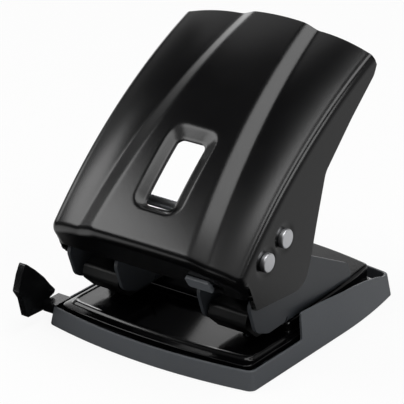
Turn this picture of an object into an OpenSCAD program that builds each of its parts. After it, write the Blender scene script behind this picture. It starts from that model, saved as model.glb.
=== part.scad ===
// Two-hole desk punch: a pressed lever on a pivot rod drives two punches through
// a steel base plate, which is hinged over a moulded tray that catches the chips.
// The origin is on the desk, below the middle of the tray. X runs along the paper
// edge, Y points to the rear and Z points up. All sizes are in millimetres.

/* [Tray] */
// Width of the tray at the desk
tray_w = 130; // [124:1:145]
// Depth of the tray from front to rear
tray_d = 148; // [144:1:160]
// How far the front edge of the tray bows forward
tray_bow = 7; // [2:0.5:8]
// How far the rear edge of the tray bows to the rear
tray_rear_bow = 4; // [1:0.5:5]
// How much each side draws in towards the rear
tray_taper = 4.5; // [2:0.5:5]
// Height of the low front wall
tray_low_z = 11; // [10.6:0.2:12]
// Height of the side wall behind the step
tray_high_z = 24.6; // [22:0.2:26]
// Height of the rear rim
tray_rear_z = 13; // [12:0.5:16]
// Wall of the tray
tray_wall = 2; // [1.5:0.1:2.4]
// Floor of the tray
tray_floor = 2; // [1.8:0.1:2.6]
// Lean of the tray walls in degrees
tray_draft = 8; // [5:0.5:9]
// How far the rubber mat stands below the tray
mat_proud = 0.5; // [0.3:0.1:1]
// How far the rubber mat stays inside the outline of the tray
mat_inset = 7; // [5:0.5:15]

/* [Base plate] */
// Height of the flat field where the paper lies
field_z = 12.5; // [12.3:0.1:13.5]
// Sheet thickness of the base plate
plate_t = 1.6; // [1.2:0.1:2]
// Gap between the plate and the tray at the sides
plate_gap = 1.8; // [1.6:0.1:2.5]
// Gap between the plate and the tray at the front
plate_front_gap = 3.3; // [2.5:0.1:5]
// How far the turned-down rim reaches below the field
rim_drop = 3.5; // [3:0.1:4]
// Height of the platform over the field at the paper stop
stop_rise = 6; // [5:0.25:7]
// Rise of the platform in degrees from the paper stop to the rear
platform_slope = 2; // [0:0.25:3]
// How far the platform stands in from the side of the plate
platform_inset = 4.3; // [4.3:0.1:6]

/* [Punches] */
// Distance between the two holes
hole_spacing = 80; // [78:0.5:81]
// Diameter of a punch
punch_d = 5.5; // [5:0.1:6.5]
// Distance from the paper stop to the middle of the holes
hole_margin = 12; // [11:0.5:13]
// Where the middle of the holes lies along the depth
punch_y = -35; // [-37:0.5:-33]
// Height of the slot that takes the paper
paper_gap = 5.5; // [4.5:0.25:6]
// Height of the upper end of the guide bore
guide_top_z = 39.5; // [36:0.5:41]
// Diameter of the collar at the top of a punch
collar_d = 11.4; // [10.8:0.2:12]
// Thickness of that collar
collar_t = 3; // [2:0.25:4]
// Running clearance on the radius of a punch or a pin
run_gap = 0.05; // [0.02:0.01:0.09]

/* [Springs] */
// Wire of the return springs
wire_d = 1.2; // [0.9:0.1:1.4]
// Middle diameter of a return spring
spring_d = 9; // [8.4:0.1:9.4]
// Curls of a return spring
spring_curls = 7; // [5:1:8]

/* [Drive] */
// Depth position of the pivot rod
pivot_y = -49; // [-50:0.5:-47]
// Height of the pivot rod
pivot_z = 62.5; // [61:0.5:64]
// Diameter of the pivot rod and of the drive rod
rod_d = 6; // [5:0.25:7]
// Diameter of the rod heads outside the cheeks
head_d = 10; // [9:0.5:11]
// Thickness of the rod heads
head_t = 2; // [1.5:0.25:2.5]
// Distance from the pivot rod to the drive rod
drive_arm = 17.2; // [16.5:0.1:18]
// Angle of that line over the horizontal with the lever up
drive_angle = 24.8; // [22:0.2:27]
// Swing of the lever
lever_swing = 38; // [30:1:40]
// Play between the drive rod and the punch collars
drive_play = 0.15; // [0.1:0.05:0.4]

/* [Brackets] */
// Sheet thickness of the brackets
bracket_t = 2; // [1.5:0.1:2.2]
// Bend radius under the walls of a bracket
bracket_bend = 6; // [4:0.5:7]
// Distance from the middle of a punch to the inner wall of its bracket
bracket_reach = 15; // [13:0.5:18]
// Gap between a bracket and the lever cheek
cheek_gap = 0.35; // [0.3:0.05:0.6]
// Radius of the lug round the pivot rod
lug_r = 8; // [7:0.5:9]

/* [Lever] */
// How far each cheek of the lever stands in from the side of the tray at the desk
lever_inset = 5.5; // [5:0.1:6]
// Sheet thickness of the lever
lever_t = 1.5; // [1:0.1:1.6]
// Radius of the long curve of the lever
lever_arc = 312; // [280:2:360]
// How far the front end of the long curve lies in front of the pivot rod
front_run = 18; // [17:0.5:19]
// Rise of the long curve from its front end to its rear end
lever_rise = 80.5; // [76:0.5:84]
// Run of the long curve from its front end to its rear end
lever_run = 114; // [108:1:118]
// Height of the middle panel over the bend line
panel_h = 6.5; // [4:0.25:8]
// Height of the outer end of the slanted bands
band_h = 3.5; // [2:0.25:5]
// Half-width of the middle panel at the front end
panel_front = 30; // [26:0.5:32]
// Half-width of the middle panel at the rear end
panel_rear = 16; // [14:0.5:20]
// Half-width over the bands at the front end
band_front = 40; // [38:0.5:43]
// Half-width over the bands at the rear end
band_rear = 23.5; // [22:0.5:30]
// Bend radius between the top and a cheek
cheek_bend = 4; // [3:0.25:5]
// Radius of the front fold
fold_r = 6; // [5:0.25:7]
// Height of the lower edge of the front apron
apron_z = 47; // [45:0.5:48]
// Lean of the front apron in degrees
apron_lean = 33.4; // [28:0.2:36]
// Width of the window
window_w = 16.3; // [12:0.1:18]
// Length of the window
window_l = 38.5; // [30:0.5:42]
// Depth of the pressed recess round the window
recess_depth = 2.2; // [1.6:0.1:3]

/* [Lock and guide] */
// Travel of the lock slider
lock_travel = 7.5; // [5:0.5:9]
// Length of the lock slider
lock_w = 15; // [12:0.5:17]
// Height of the lock slider
lock_h = 7.6; // [6.5:0.1:8]
// Width of the paper guide strip
guide_w = 12.5; // [10:0.5:13]
// Thickness of the paper guide strip
guide_t = 3; // [2:0.1:3.1]
// How far the strip stays away from the side of the tray at the desk
guide_inset = 6; // [4:0.5:15]

/* [Hidden] */
$fn = 48;
eps = 0.01;

tray_front = -tray_d / 2;
tray_rear = tray_d / 2;
draft = tan(tray_draft);
inner_draft = tan(tray_draft - 1);
taper_from = 14;
taper_to = tray_rear - 8;
stop_y = punch_y + hole_margin;
step_y = stop_y + 3;
high_end_y = 34;
wall_end_y = tray_rear - 9;
platform_z = field_z + stop_rise;
platform_rear = tray_rear - 12;
lever_half = tray_w / 2 - lever_inset;
bracket_half = lever_half - lever_t - cheek_gap;
bracket_inner = hole_spacing / 2 - bracket_reach;
guide_l = tray_w - 2 * guide_inset;
drive_y = pivot_y + drive_arm * cos(drive_angle);
drive_z = pivot_z + drive_arm * sin(drive_angle);
drive_low_z = pivot_z + drive_arm * sin(drive_angle - lever_swing);
stroke = drive_z - drive_low_z;
punch_top_z = drive_z - rod_d / 2 - drive_play;
collar_low_z = punch_top_z - collar_t;
guide_low_z = field_z + paper_gap;
punch_low_z = guide_low_z + 0.6;
echo(stroke = stroke, ratio_m_per_rad = stroke / lever_swing * 180 / PI / 1000);

// ---------- outlines seen from above ----------

// Plan of a moulded or pressed tray: half-width, front, front bow, rear, rear bow, corner radius
function plan(half, front, front_bow, rear, rear_bow, corner) =
    [half, front, front_bow, rear, rear_bow, corner];
function side_x(p, y) =
    p[0] - tray_taper * pow(max(0, (y - taper_from) / (taper_to - taper_from)), 2);

// Half of the plan, from the middle of the front to the middle of the rear; a front with
// no bow starts at its corner
function half_plan(p, n = 6) =
    let (front_n = (p[2] == 0) ? 0 : n,
         slope = atan(2 * p[2] / p[0]),
         x0 = p[0] - p[5] + p[5] * sin(slope),
         y0 = p[1] + p[2] * pow(x0 / p[0], 2),
         cx = x0 - p[5] * sin(slope),
         cy = y0 + p[5] * cos(slope),
         ry = p[3] - p[4] - p[5],
         rx = side_x(p, ry) - p[5])
    concat(
        [for (i = [0:1:front_n - 1]) let (x = x0 * i / front_n) [x, p[1] + p[2] * pow(x / p[0], 2)]],
        [for (i = [0:4]) let (a = -90 + slope + (90 - slope) * i / 4)
            [cx + p[5] * cos(a), cy + p[5] * sin(a)]],
        [for (i = [1:n]) let (y = cy + (ry - cy) * i / (n + 1)) [side_x(p, y), y]],
        [for (i = [0:4]) let (a = 90 * i / 4) [rx + p[5] * cos(a), ry + p[5] * sin(a)]],
        [for (i = [1:n]) let (x = rx * (1 - i / n)) [x, p[3] - p[4] * pow(x / rx, 2)]]);

// The whole plan, counter-clockwise
function whole_plan(p) =
    let (h = half_plan(p))
    concat(h, [for (i = [len(h) - 2:-1:(p[2] == 0) ? 0 : 1]) [-h[i][0], h[i][1]]]);
function ring(p, z) = [for (q = whole_plan(p)) [q[0], q[1], z]];

// Closed solid through rings that have the same number of points
module loft(rings) {
    n = len(rings[0]);
    m = len(rings);
    polyhedron(
        points = [for (r = rings) for (q = r) q],
        faces = concat(
            [[for (i = [0:n - 1]) i]],
            [for (k = [0:m - 2]) for (i = [0:n - 1])
                let (j = (i + 1) % n) [k * n + i, (k + 1) * n + i, (k + 1) * n + j, k * n + j]],
            [[for (i = [n - 1:-1:0]) (m - 1) * n + i]]),
        convexity = 6);
}

// ---------- small shared forms ----------

// Rod along X from x0 to x1 at a place in the side view
module rod_x(d, x0, x1, y, z) translate([x0, y, z]) rotate([0, 90, 0]) cylinder(d = d, h = x1 - x0);

// Side-view outline, as [y, z] points, made into a plate from x0 to x1
module side_plate(x0, x1, points) translate([x0, 0, 0]) rotate([90, 0, 90]) linear_extrude(x1 - x0)
    polygon(points);

// Rounded rectangle round the origin
module rounded(w, l, r) {
    square([w - 2 * r, l], center = true);
    square([w, l - 2 * r], center = true);
    for (x = [-1, 1], y = [-1, 1]) translate([x * (w / 2 - r), y * (l / 2 - r)]) circle(r);
}

// Corner b between points a and c, rounded with radius r, as points
function round_corner(a, b, c, r, n = 5) =
    let (u = (a - b) / norm(a - b),
         v = (c - b) / norm(c - b),
         half = acos(u * v) / 2,
         w = (u + v) / norm(u + v),
         m = b + w * r / sin(half),
         a0 = atan2((b + u * r / tan(half) - m)[1], (b + u * r / tan(half) - m)[0]),
         a1 = atan2((b + v * r / tan(half) - m)[1], (b + v * r / tan(half) - m)[0]),
         turn = (a1 - a0 > 180) ? a1 - a0 - 360 : (a1 - a0 < -180) ? a1 - a0 + 360 : a1 - a0)
    [for (i = [0:n]) let (t = a0 + turn * i / n) m + r * [cos(t), sin(t)]];

// Outline through corners given as [y, z, radius]
function rounded_outline(c) =
    let (n = len(c), p = [for (q = c) [q[0], q[1]]])
    [for (i = [0:n - 1])
        each (c[i][2] > 0
            ? round_corner(p[(i + n - 1) % n], p[i], p[(i + 1) % n], c[i][2])
            : [p[i]])];

// ---------- tray ----------

// Drafted tray shape, set in by inset at the desk and leaning in with height
module tray_body(inset, lean, low, high) {
    function at(z) = plan(
        tray_w / 2 - inset - z * lean, tray_front + inset + z * lean, tray_bow,
        tray_rear - inset - z * lean, tray_rear_bow, max(4 - inset / 2, 2));
    loft([ring(at(low), low), ring(at(high), high)]);
}

// Height of the side wall at a place along the depth, behind the step
function wall_z(y) =
    let (t = max(0, y - high_end_y), end = wall_end_y - high_end_y,
         knee = tray_high_z - 4.2,
         k = (knee - tray_rear_z - 0.08 * end) / (end * end))
    (y < high_end_y)
        ? tray_high_z - 4.2 * (y - step_y) / (high_end_y - step_y)
        : knee - 0.08 * t - k * t * t;

guide_y = tray_front + tray_bow + guide_w / 2 + 2.2;
guide_z = 5.6;
hinge_y = platform_rear - 8;
hinge_z = 6.5;
hinge_pin_d = 4;
hinge_tab_x = 30;
hinge_tab_t = 3;
lug_x = hinge_tab_x + hinge_tab_t + 0.4;
mat_seat = 0.7;
post_x = tray_w / 2 - 11;
post_gap = 0.1;

module tray_lug(side) {
    rotate([90, 0, 90]) translate([0, 0, side > 0 ? lug_x : -lug_x - hinge_tab_t]) linear_extrude(hinge_tab_t)
        polygon([[hinge_y - 6, mat_proud + tray_floor - eps], [hinge_y + 4.4, mat_proud + tray_floor - eps],
            [hinge_y + 3.2, hinge_z + 2.2], [hinge_y + 1, hinge_z + 3.6], [hinge_y - 1, hinge_z + 3.6],
            [hinge_y - 3.4, hinge_z + 2.2]]);
}

module tray() color("#3c3f43") {
    floor_z = mat_proud + tray_floor;
    rail_x = guide_l / 2;
    difference() {
        union() {
            difference() {
                intersection() {
                    tray_body(0, draft, mat_proud, tray_high_z + 2);
                    side_plate(-tray_w, tray_w, concat(
                        [[tray_front - 5, 0], [tray_front - 5, tray_low_z], [step_y - 1.2, tray_low_z],
                            [step_y, tray_high_z]],
                        [for (i = [1:9]) let (y = step_y + (wall_end_y - step_y) * i / 9) [y, wall_z(y)]],
                        [[tray_rear + 5, tray_rear_z], [tray_rear + 5, 0]]));
                }
                tray_body(tray_wall, inner_draft, floor_z, tray_high_z + 3);
            }
            // rails that carry the guide strip
            for (s = [-1, 1]) translate([-rail_x, guide_y + s * (guide_w / 2 + 1.2) - 0.8, floor_z - eps])
                cube([rail_x * 2 - 6, 1.6, guide_z + 1.4 - floor_z + eps]);
            for (x = [-44, 0, 40]) translate([x, guide_y - guide_w / 2 - 1, floor_z - eps])
                cube([1.6, guide_w + 2, guide_z - floor_z + eps]);
            for (side = [-1, 1]) tray_lug(side);
            // posts that the base plate rests on
            for (x = [-1, 1]) translate([x * post_x, punch_y - 9, floor_z - eps])
                cylinder(d = 5, h = field_z - plate_t - post_gap - floor_z + eps);
        }
        // notch for the guide in the left wall
        translate([-tray_w, guide_y - guide_w / 2 - 0.35, guide_z - 0.35])
            cube([tray_w - rail_x + 1, guide_w + 0.7, tray_low_z]);
        // recess for the rubber mat
        translate([0, 0, -1]) linear_extrude(1 + mat_proud + mat_seat) mat_outline(0.1);
        rod_x(hinge_pin_d, -lug_x - hinge_tab_t - eps, lug_x + hinge_tab_t + eps, hinge_y, hinge_z);
    }
}

// Outline of the rubber mat, grown all round
module mat_outline(grow) polygon(whole_plan(plan(tray_w / 2 - mat_inset + grow,
    tray_front + mat_inset - grow, tray_bow, tray_rear - mat_inset + grow, tray_rear_bow, 4 + grow)));
module anti_slip_mat() color("#2a2a2a") linear_extrude(mat_proud + mat_seat) mat_outline(0);

module hinge_pins() color("silver")
    for (side = [-1, 1]) rod_x(hinge_pin_d,
        side > 0 ? hinge_tab_x - 1 : -lug_x - hinge_tab_t,
        side > 0 ? lug_x + hinge_tab_t : -hinge_tab_x + 1, hinge_y, hinge_z);

// ---------- paper guide: a sliding strip with a fin that stops the paper ----------

fin_t = 4;
fin_x = -tray_w / 2 - 5;
// Corners of the fin, from the middle of the strip along the depth and from its underside
fin_corners = [
    [-1.2, 0.3, 1], [-0.8, 5.6, 0], [2.6, 6.7, 0], [3.8, 8.4, 1], [-0.4, 13, 0], [-4.9, 18.7, 8],
    [-11.8, 25.4, 6], [-19.2, 31.6, 1], [-22.4, 25.8, 0], [-25.3, 17.4, 1.6], [-21.8, 12.2, 4], [-19, 0.8, 1.5]];

module paper_guide() color("#1c1d1f") {
    strip_end = guide_l / 2 - 3;
    translate([fin_x + eps, guide_y - guide_w / 2, guide_z])
        cube([strip_end - fin_x, guide_w, guide_t]);
    // thick collar that fills the notch in the tray wall
    translate([fin_x + eps, guide_y - guide_w / 2, guide_z])
        cube([-fin_x - guide_l / 2 - 2.4, guide_w, tray_low_z - guide_z]);
    side_plate(fin_x - fin_t, fin_x + 2 * eps, rounded_outline([for (q = fin_corners) q + [guide_y, guide_z, 0]]));
}

// ---------- base plate ----------

tray_inner_half = tray_w / 2 - tray_wall - field_z * inner_draft;
plate_half = tray_inner_half - plate_gap;
platform_half = plate_half - platform_inset;
plate_front = tray_front + tray_wall + field_z * inner_draft + plate_front_gap;
plate_bow = 4;

function field_plan(d) = plan(plate_half - d, plate_front + d, plate_bow, platform_rear - 2 - d, 5, max(4.5 - d, 1));
function stand_plan(d) = plan(platform_half - d, stop_y + min(d, 1.2), 0, platform_rear - d, 5, max(3.5 - d, 1));

// Height of the sloping platform top, less a drop
function top_z(y, drop) = platform_z + tan(platform_slope) * (y - stop_y) - drop;
function top_ring(d, drop) = [for (q = whole_plan(stand_plan(d))) [q[0], q[1], top_z(q[1], drop)]];

// Places children on the sloping platform: local Y runs up the slope from the paper stop
module on_platform() translate([0, stop_y, platform_z]) rotate([platform_slope, 0, 0]) children();
function to_platform(q) =
    let (y = q[0] - stop_y, z = q[1] - platform_z)
    [y * cos(platform_slope) + z * sin(platform_slope), z * cos(platform_slope) - y * sin(platform_slope)];

module base_plate() color("#1d1e20") {
    rim_z = field_z - rim_drop;
    difference() {
        union() {
            difference() {
                union() {
                    loft([ring(field_plan(0), rim_z), ring(field_plan(0), field_z - 2.4),
                        ring(field_plan(0.75), field_z - 0.72), ring(field_plan(2.4), field_z)]);
                    loft([ring(stand_plan(0), rim_z), top_ring(0, 2.6), top_ring(0.8, 0.8), top_ring(2.6, 0)]);
                }
                loft([ring(field_plan(plate_t), rim_z - 1), ring(field_plan(plate_t), field_z - plate_t - 1),
                    ring(field_plan(plate_t + 1), field_z - plate_t)]);
                loft([ring(stand_plan(plate_t), rim_z - 1), top_ring(plate_t, plate_t + 1.4),
                    top_ring(plate_t + 1.4, plate_t)]);
            }
            // hinge tabs under the rear of the platform
            for (side = [-1, 1])
                side_plate(side > 0 ? hinge_tab_x : -hinge_tab_x - hinge_tab_t,
                    side > 0 ? hinge_tab_x + hinge_tab_t : -hinge_tab_x,
                    [[hinge_y - 6, top_z(hinge_y - 6, plate_t - 0.4)], [hinge_y - 4, hinge_z],
                        [hinge_y - 2.6, hinge_z - 2.6], [hinge_y, hinge_z - 3.4], [hinge_y + 2.2, hinge_z - 2.2],
                        [hinge_y + 3, hinge_z], [hinge_y + 1, top_z(hinge_y + 1, plate_t - 0.4)]]);
        }
        for (side = [-1, 1]) {
            translate([side * hole_spacing / 2, punch_y, rim_z - 5]) cylinder(d = punch_d + 0.8, h = 12);
            on_platform() for (v = rivet_at) translate([side * rivet_x, v, -10]) cylinder(d = rivet_d, h = 12);
        }
        rod_x(hinge_pin_d + 2 * run_gap, -tray_w / 2, tray_w / 2, hinge_y, hinge_z);
        // notch in the rim where the guide strip passes
        translate([-tray_w, guide_y - guide_w / 2 - 1.5, rim_z - 1])
            cube([tray_w - plate_half + plate_t + 0.6, guide_w + 3, 1.3]);
    }
}

die_d = 15;
die_t = 2.4;
module die(side) color("#8b8d90") translate([side * hole_spacing / 2, punch_y, field_z - plate_t - die_t])
    difference() {
        cylinder(d = die_d, h = die_t);
        translate([0, 0, -1]) cylinder(r = punch_d / 2 + run_gap, h = die_t + 2);
    }
module die_left() die(-1);
module die_right() die(1);

// ---------- brackets: a U of steel sheet that holds the pivot rod and a punch guide ----------

notch_floor_z = drive_low_z - rod_d / 2 - 2;

// Lower edge of a bracket wall, where the bend to the floor begins
function bend_edge(y) = top_z(y, -bracket_bend);

// Side view of the outer wall: lug, notch for the drive rod, slope, foot and front lobe
function wall_outline() = concat(
    [for (a = [195:-15:45]) [pivot_y + lug_r * cos(a), pivot_z + lug_r * sin(a)]],
    rounded_outline([
        [pivot_y + 8.6, pivot_z - 0.5, 1], [drive_y - 4.2, notch_floor_z, 1.5], [-13.9, notch_floor_z, 4],
        [28, 33.2, 5], [31, bend_edge(31), 0], [-27.4, bend_edge(-27.4), 0], [-29.5, 22, 3],
        [-43.5, 21.4, 9], [-54, 25.5, 7], [-60, 42, 6]]));

module bracket_floor_profile() {
    w0 = bracket_inner;
    w1 = bracket_half;
    module tub(d) intersection() {
        union() {
            for (x = [w0 + bracket_bend, w1 - bracket_bend]) translate([x, bracket_bend]) circle(bracket_bend - d);
            translate([w0 + bracket_bend, d]) square([w1 - w0 - 2 * bracket_bend, bracket_bend - d + 1]);
            translate([w0 + d, bracket_bend]) square([w1 - w0 - 2 * d, 1]);
        }
        translate([w0 - 1, d > 0 ? -1 : 0]) square([w1 - w0 + 2, bracket_bend + (d > 0 ? 2 : 1)]);
    }
    difference() {
        intersection() {
            tub(0);
            translate([w0 - 1, -1]) square([w1 - w0 + 2, bracket_bend + 1]);
        }
        tub(bracket_t);
    }
}

module bracket(side) color("#2b2d30") mirror([side < 0 ? 1 : 0, 0, 0]) difference() {
    union() {
        on_platform() for (x = [bracket_inner, bracket_half - bracket_t])
            side_plate(x, x + bracket_t, [for (q = wall_outline()) to_platform(q)]);
        on_platform() translate([0, floor_rear_v, 0]) rotate([90, 0, 0])
            linear_extrude(floor_rear_v - floor_front_v) bracket_floor_profile();
    }
    rod_x(rod_d, 0, lever_half, pivot_y, pivot_z);
    on_platform() for (v = rivet_at) translate([rivet_x, v, -1]) cylinder(d = rivet_d, h = 10);
}
module bracket_left() bracket(-1);
module bracket_right() bracket(1);

// ---------- punch guides: blocks that overhang the paper slot ----------

rivet_x = hole_spacing / 2;
rivet_d = 4;
rivet_head_d = 7;
rivet_head_t = 1.4;
rivet_at = [14, 34];
guide_half_w = 11.5;
guide_foot_half = 8.8;
guide_web_half = 8;
floor_front_v = -3.6;
floor_rear_v = 54;
guide_foot_t = 4;

// Rear face of the nose, just in front of the floor of the bracket
nose_rear_y = stop_y + floor_front_v - 0.6;

module punch_guide(side) color("#232527") translate([side * hole_spacing / 2, 0, 0]) difference() {
    union() {
        // overhanging nose with its rounded front
        side_plate(-guide_half_w, guide_half_w, rounded_outline([
            [-55, 27, 4], [-45, guide_low_z, 3], [nose_rear_y, guide_low_z, 0], [nose_rear_y, 34, 1],
            [-53, 34, 3]]));
        // web from the nose over the floor of the bracket
        side_plate(-guide_web_half, guide_web_half, [[nose_rear_y - 1, 24],
            [nose_rear_y, top_z(nose_rear_y, -bracket_t)], [stop_y + 4.6, top_z(stop_y + 4.6, -bracket_t)],
            [stop_y + 6, 29], [stop_y + 2, 33], [nose_rear_y - 1, 33.6]]);
        // boss round the bore
        translate([0, punch_y, guide_low_z]) cylinder(d = 13.5, h = guide_top_z - guide_low_z);
        // foot that is riveted to the bracket floor
        on_platform() translate([-guide_foot_half, 2.4, bracket_t])
            cube([2 * guide_foot_half, 42, guide_foot_t]);
        // rib from the boss down to the foot
        on_platform() side_plate(-1.5, 1.5, [[0, bracket_t + 2], [0, 16], [4, 13], [9, bracket_t + 3.6],
            [9, bracket_t + 2]]);
    }
    translate([0, punch_y, 0]) cylinder(r = punch_d / 2 + run_gap, h = guide_top_z + 5);
    on_platform() for (v = rivet_at) translate([0, v, -1]) cylinder(d = rivet_d, h = 12);
    on_platform() for (v = rivet_at) translate([0, v, bracket_t + guide_foot_t]) cylinder(d = rivet_head_d + 1, h = 14);
}
module punch_guide_left() punch_guide(-1);
module punch_guide_right() punch_guide(1);

module guide_rivets() color("#a9abae") on_platform() for (side = [-1, 1], v = rivet_at)
    translate([side * rivet_x, v, 0]) {
        translate([0, 0, -plate_t - rivet_head_t])
            cylinder(d = rivet_d, h = plate_t + bracket_t + guide_foot_t + rivet_head_t + 0.5);
        translate([0, 0, bracket_t + guide_foot_t]) cylinder(d = rivet_head_d, h = rivet_head_t);
        translate([0, 0, -plate_t - rivet_head_t]) cylinder(d = rivet_head_d, h = rivet_head_t);
    }

// ---------- punches, collars and springs ----------

module punch(side) color("#b9bbbe") translate([side * hole_spacing / 2, punch_y, 0]) difference() {
    translate([0, 0, punch_low_z]) cylinder(d = punch_d, h = punch_top_z - 1 - punch_low_z);
    // hollow cutting end
    translate([0, 0, punch_low_z - 4.4]) rotate([90, 0, 0]) cylinder(r = 5.4, h = 20, center = true);
}
module punch_left() punch(-1);
module punch_right() punch(1);

module punch_collar(side) color("#9fa1a4") translate([side * hole_spacing / 2, punch_y, collar_low_z])
    difference() {
        union() {
            cylinder(d = collar_d, h = collar_t);
            translate([0, 0, -1.6]) cylinder(d = 7, h = 2);
        }
        translate([0, 0, -3]) cylinder(d = punch_d, h = collar_t + 2);
    }
module punch_collar_left() punch_collar(-1);
module punch_collar_right() punch_collar(1);

// Return spring as one wire: a helix whose first and last half curl lie flat
spring_seat = 0.15;
spring_low = guide_top_z + spring_seat + wire_d / 2;
spring_high = collar_low_z - spring_seat - wire_d / 2;
curl_steps = 8;
spring_steps = (spring_curls + 1.5) * curl_steps;
spring_flat = 0.75 * curl_steps;
function spring_lift(i) =
    let (climb = spring_steps - 2 * spring_flat, t = min(max(i - spring_flat, 0), climb) / climb)
    spring_low + wire_step * (min(i, spring_flat) / spring_flat) +
    (spring_high - spring_low - 2 * wire_step) * t +
    wire_step * max(0, i - spring_flat - climb) / spring_flat;
wire_step = wire_d + 0.45;
wire_path = [for (i = [0:spring_steps]) let (a = 360 * i / curl_steps)
    [spring_d / 2 * cos(a), spring_d / 2 * sin(a), spring_lift(i)]];
spring_gap = min([for (i = [0:spring_steps - curl_steps])
    norm(wire_path[i + curl_steps] - wire_path[i]) - wire_d]);
echo(spring_gap = spring_gap);

function wire_ring(i) =
    let (a = 360 * i / curl_steps, q = wire_path[i])
    [for (k = [0:5]) let (b = 60 * k) q + wire_d / 2 * [cos(b) * cos(a), cos(b) * sin(a), sin(b)]];

module return_spring(side) color("#8f9194") translate([side * hole_spacing / 2, punch_y, 0])
    loft([for (i = [0:spring_steps]) wire_ring(i)]);
module return_spring_left() return_spring(-1);
module return_spring_right() return_spring(1);

// ---------- pivot rod and drive rod ----------

pivot_end = lever_half + 0.15;

// Rod with a head on the left; its right end takes a cap
module headed_rod(y, z, end) {
    rod_x(rod_d, -end, end + head_t / 2, y, z);
    rod_x(head_d, -end - head_t, -end, y, z);
}
module head_cap(y, z, end) difference() {
    rod_x(head_d, end, end + head_t, y, z);
    rod_x(rod_d, end - 1, end + head_t / 2, y, z);
}
module pivot_rod() color("#c8cacc") headed_rod(pivot_y, pivot_z, pivot_end);
module pivot_cap() color("#c8cacc") head_cap(pivot_y, pivot_z, pivot_end);
module drive_rod() color("#c8cacc") headed_rod(drive_y, drive_z, lever_half);
module drive_cap() color("#c8cacc") head_cap(drive_y, drive_z, lever_half);

// ---------- lever ----------

// Front and rear ends of the bend line, and the centre of the long curve through them
lever_front_pt = [pivot_y - front_run, pivot_z];
lever_rear_pt = lever_front_pt + [lever_run, lever_rise];
chord = lever_rear_pt - lever_front_pt;
chord_dir = chord / norm(chord);
arc_centre = (lever_front_pt + lever_rear_pt) / 2
    - [-chord_dir[1], chord_dir[0]] * sqrt(lever_arc * lever_arc - chord * chord / 4);
rear_angle = atan2((lever_rear_pt - arc_centre)[1], (lever_rear_pt - arc_centre)[0]);

// Apron plane: its outward normal, its upward direction and its lower edge
apron_normal_angle = 180 + apron_lean;
apron_out = [cos(apron_normal_angle), sin(apron_normal_angle)];
apron_up = [apron_out[1], -apron_out[0]];
fold_forward = pivot_y - 19.9;
apron_foot = [fold_forward + 4.8, apron_z];

// Centre of the front fold for a crown height k: on the curve moved in by the fold
// radius, and on the apron plane moved in by the same radius
function fold_centre(k) =
    let (q = apron_foot - fold_r * apron_out, w = q - arc_centre, b = w * apron_up,
         r = lever_arc + k - fold_r, t = -b + sqrt(b * b - w * w + r * r))
    q + apron_up * t;
function fold_angle(k) = let (f = fold_centre(k) - arc_centre) atan2(f[1], f[0]);

// Height of the pressed section over the bend line at s, from 0 at the front to 1 at the rear
edge_h = 0.5;
bend_x = lever_half - cheek_bend;
function panel_x(s) = panel_front + (panel_rear - panel_front) * s;
function band_x(s) = band_front + (band_rear - band_front) * s;
soft = 2.4;
function ramp(t) = (t <= -soft) ? 0 : (t >= soft) ? t : pow(t + soft, 2) / (4 * soft);
function crown(x, s) =
    let (p = panel_x(s), b = band_x(s),
         m1 = (panel_h - band_h) / (b - p), m2 = (band_h - edge_h) / (bend_x - b))
    panel_h + 0.6 * (1 - pow(min(x, p) / p, 2)) - m1 * ramp(x - p) - (m2 - m1) * ramp(x - b);

// Columns across one half: [x, drop of the cheek bend] from the middle outwards
function column_x(j, s) =
    let (p = panel_x(s), b = band_x(s))
    [0, p * 0.35, p * 0.7, p - soft, p, p + soft, b - soft, b, b + soft,
        (b + soft + bend_x) / 2, bend_x][j];
flat_columns = 11;
bend_columns = 5;
half_columns = flat_columns + bend_columns;
function bend_a(j) = 90 - 90 * (j - flat_columns + 1) / bend_columns;

panel_rows = 13;
fold_rows = 5;
all_rows = panel_rows + fold_rows + 2;
rear_reach = 3;
rear_bow = 5.8;

// Point of the outer skin: row i from the rear end to the apron foot, column j to the right
function skin(i, j) =
    let (s = max(0, 1 - i / panel_rows),
         flat = j < flat_columns,
         a = flat ? 90 : bend_a(j),
         x = flat ? column_x(j, s) : bend_x + cheek_bend * cos(a),
         drop = flat ? 0 : cheek_bend * (1 - sin(a)),
         k = crown(min(x, bend_x), s),
         k0 = crown(min(flat ? column_x(j, 0) : bend_x, bend_x), 0),
         start = rear_angle - (rear_reach - rear_bow * pow(x / lever_half, 2)) / lever_arc * 180 / PI,
         end = fold_angle(k0),
         yz = (i <= panel_rows)
            ? let (t = start + (end - start) * i / panel_rows)
                arc_centre + (lever_arc + k - drop) * [cos(t), sin(t)]
            : (i <= panel_rows + fold_rows)
            ? let (t = end + (apron_normal_angle - end) * (i - panel_rows) / fold_rows)
                fold_centre(k0) + (fold_r - drop) * [cos(t), sin(t)]
            : let (f = fold_centre(k0) + (fold_r - drop) * apron_out,
                   g = apron_foot - drop * apron_out)
                f + (g - f) * (i - panel_rows - fold_rows) / 2)
    [x, yz[0], yz[1]];

// Outward normal of the skin, from its neighbours; straight outwards at the cheek
function skin_normal(i, j) =
    (j == half_columns - 1) ? [1, 0, 0] :
    let (u = skin(min(i + 1, all_rows), j) - skin(max(i - 1, 0), j),
         v = skin(i, j + 1) - ((j == 0) ? mirror_x(skin(i, 1)) : skin(i, j - 1)),
         n = cross(v, u))
    -n / norm(n);
function mirror_x(q) = [-q[0], q[1], q[2]];
function skin_full(i, c) =
    let (j = abs(c - half_columns + 1), q = skin(i, j)) (c < half_columns - 1) ? mirror_x(q) : q;
function inner_full(i, c) =
    let (j = abs(c - half_columns + 1), q = skin(i, j) - lever_t * skin_normal(i, j))
    (c < half_columns - 1) ? mirror_x(q) : (j == 0) ? [0, q[1], q[2]] : q;

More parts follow.
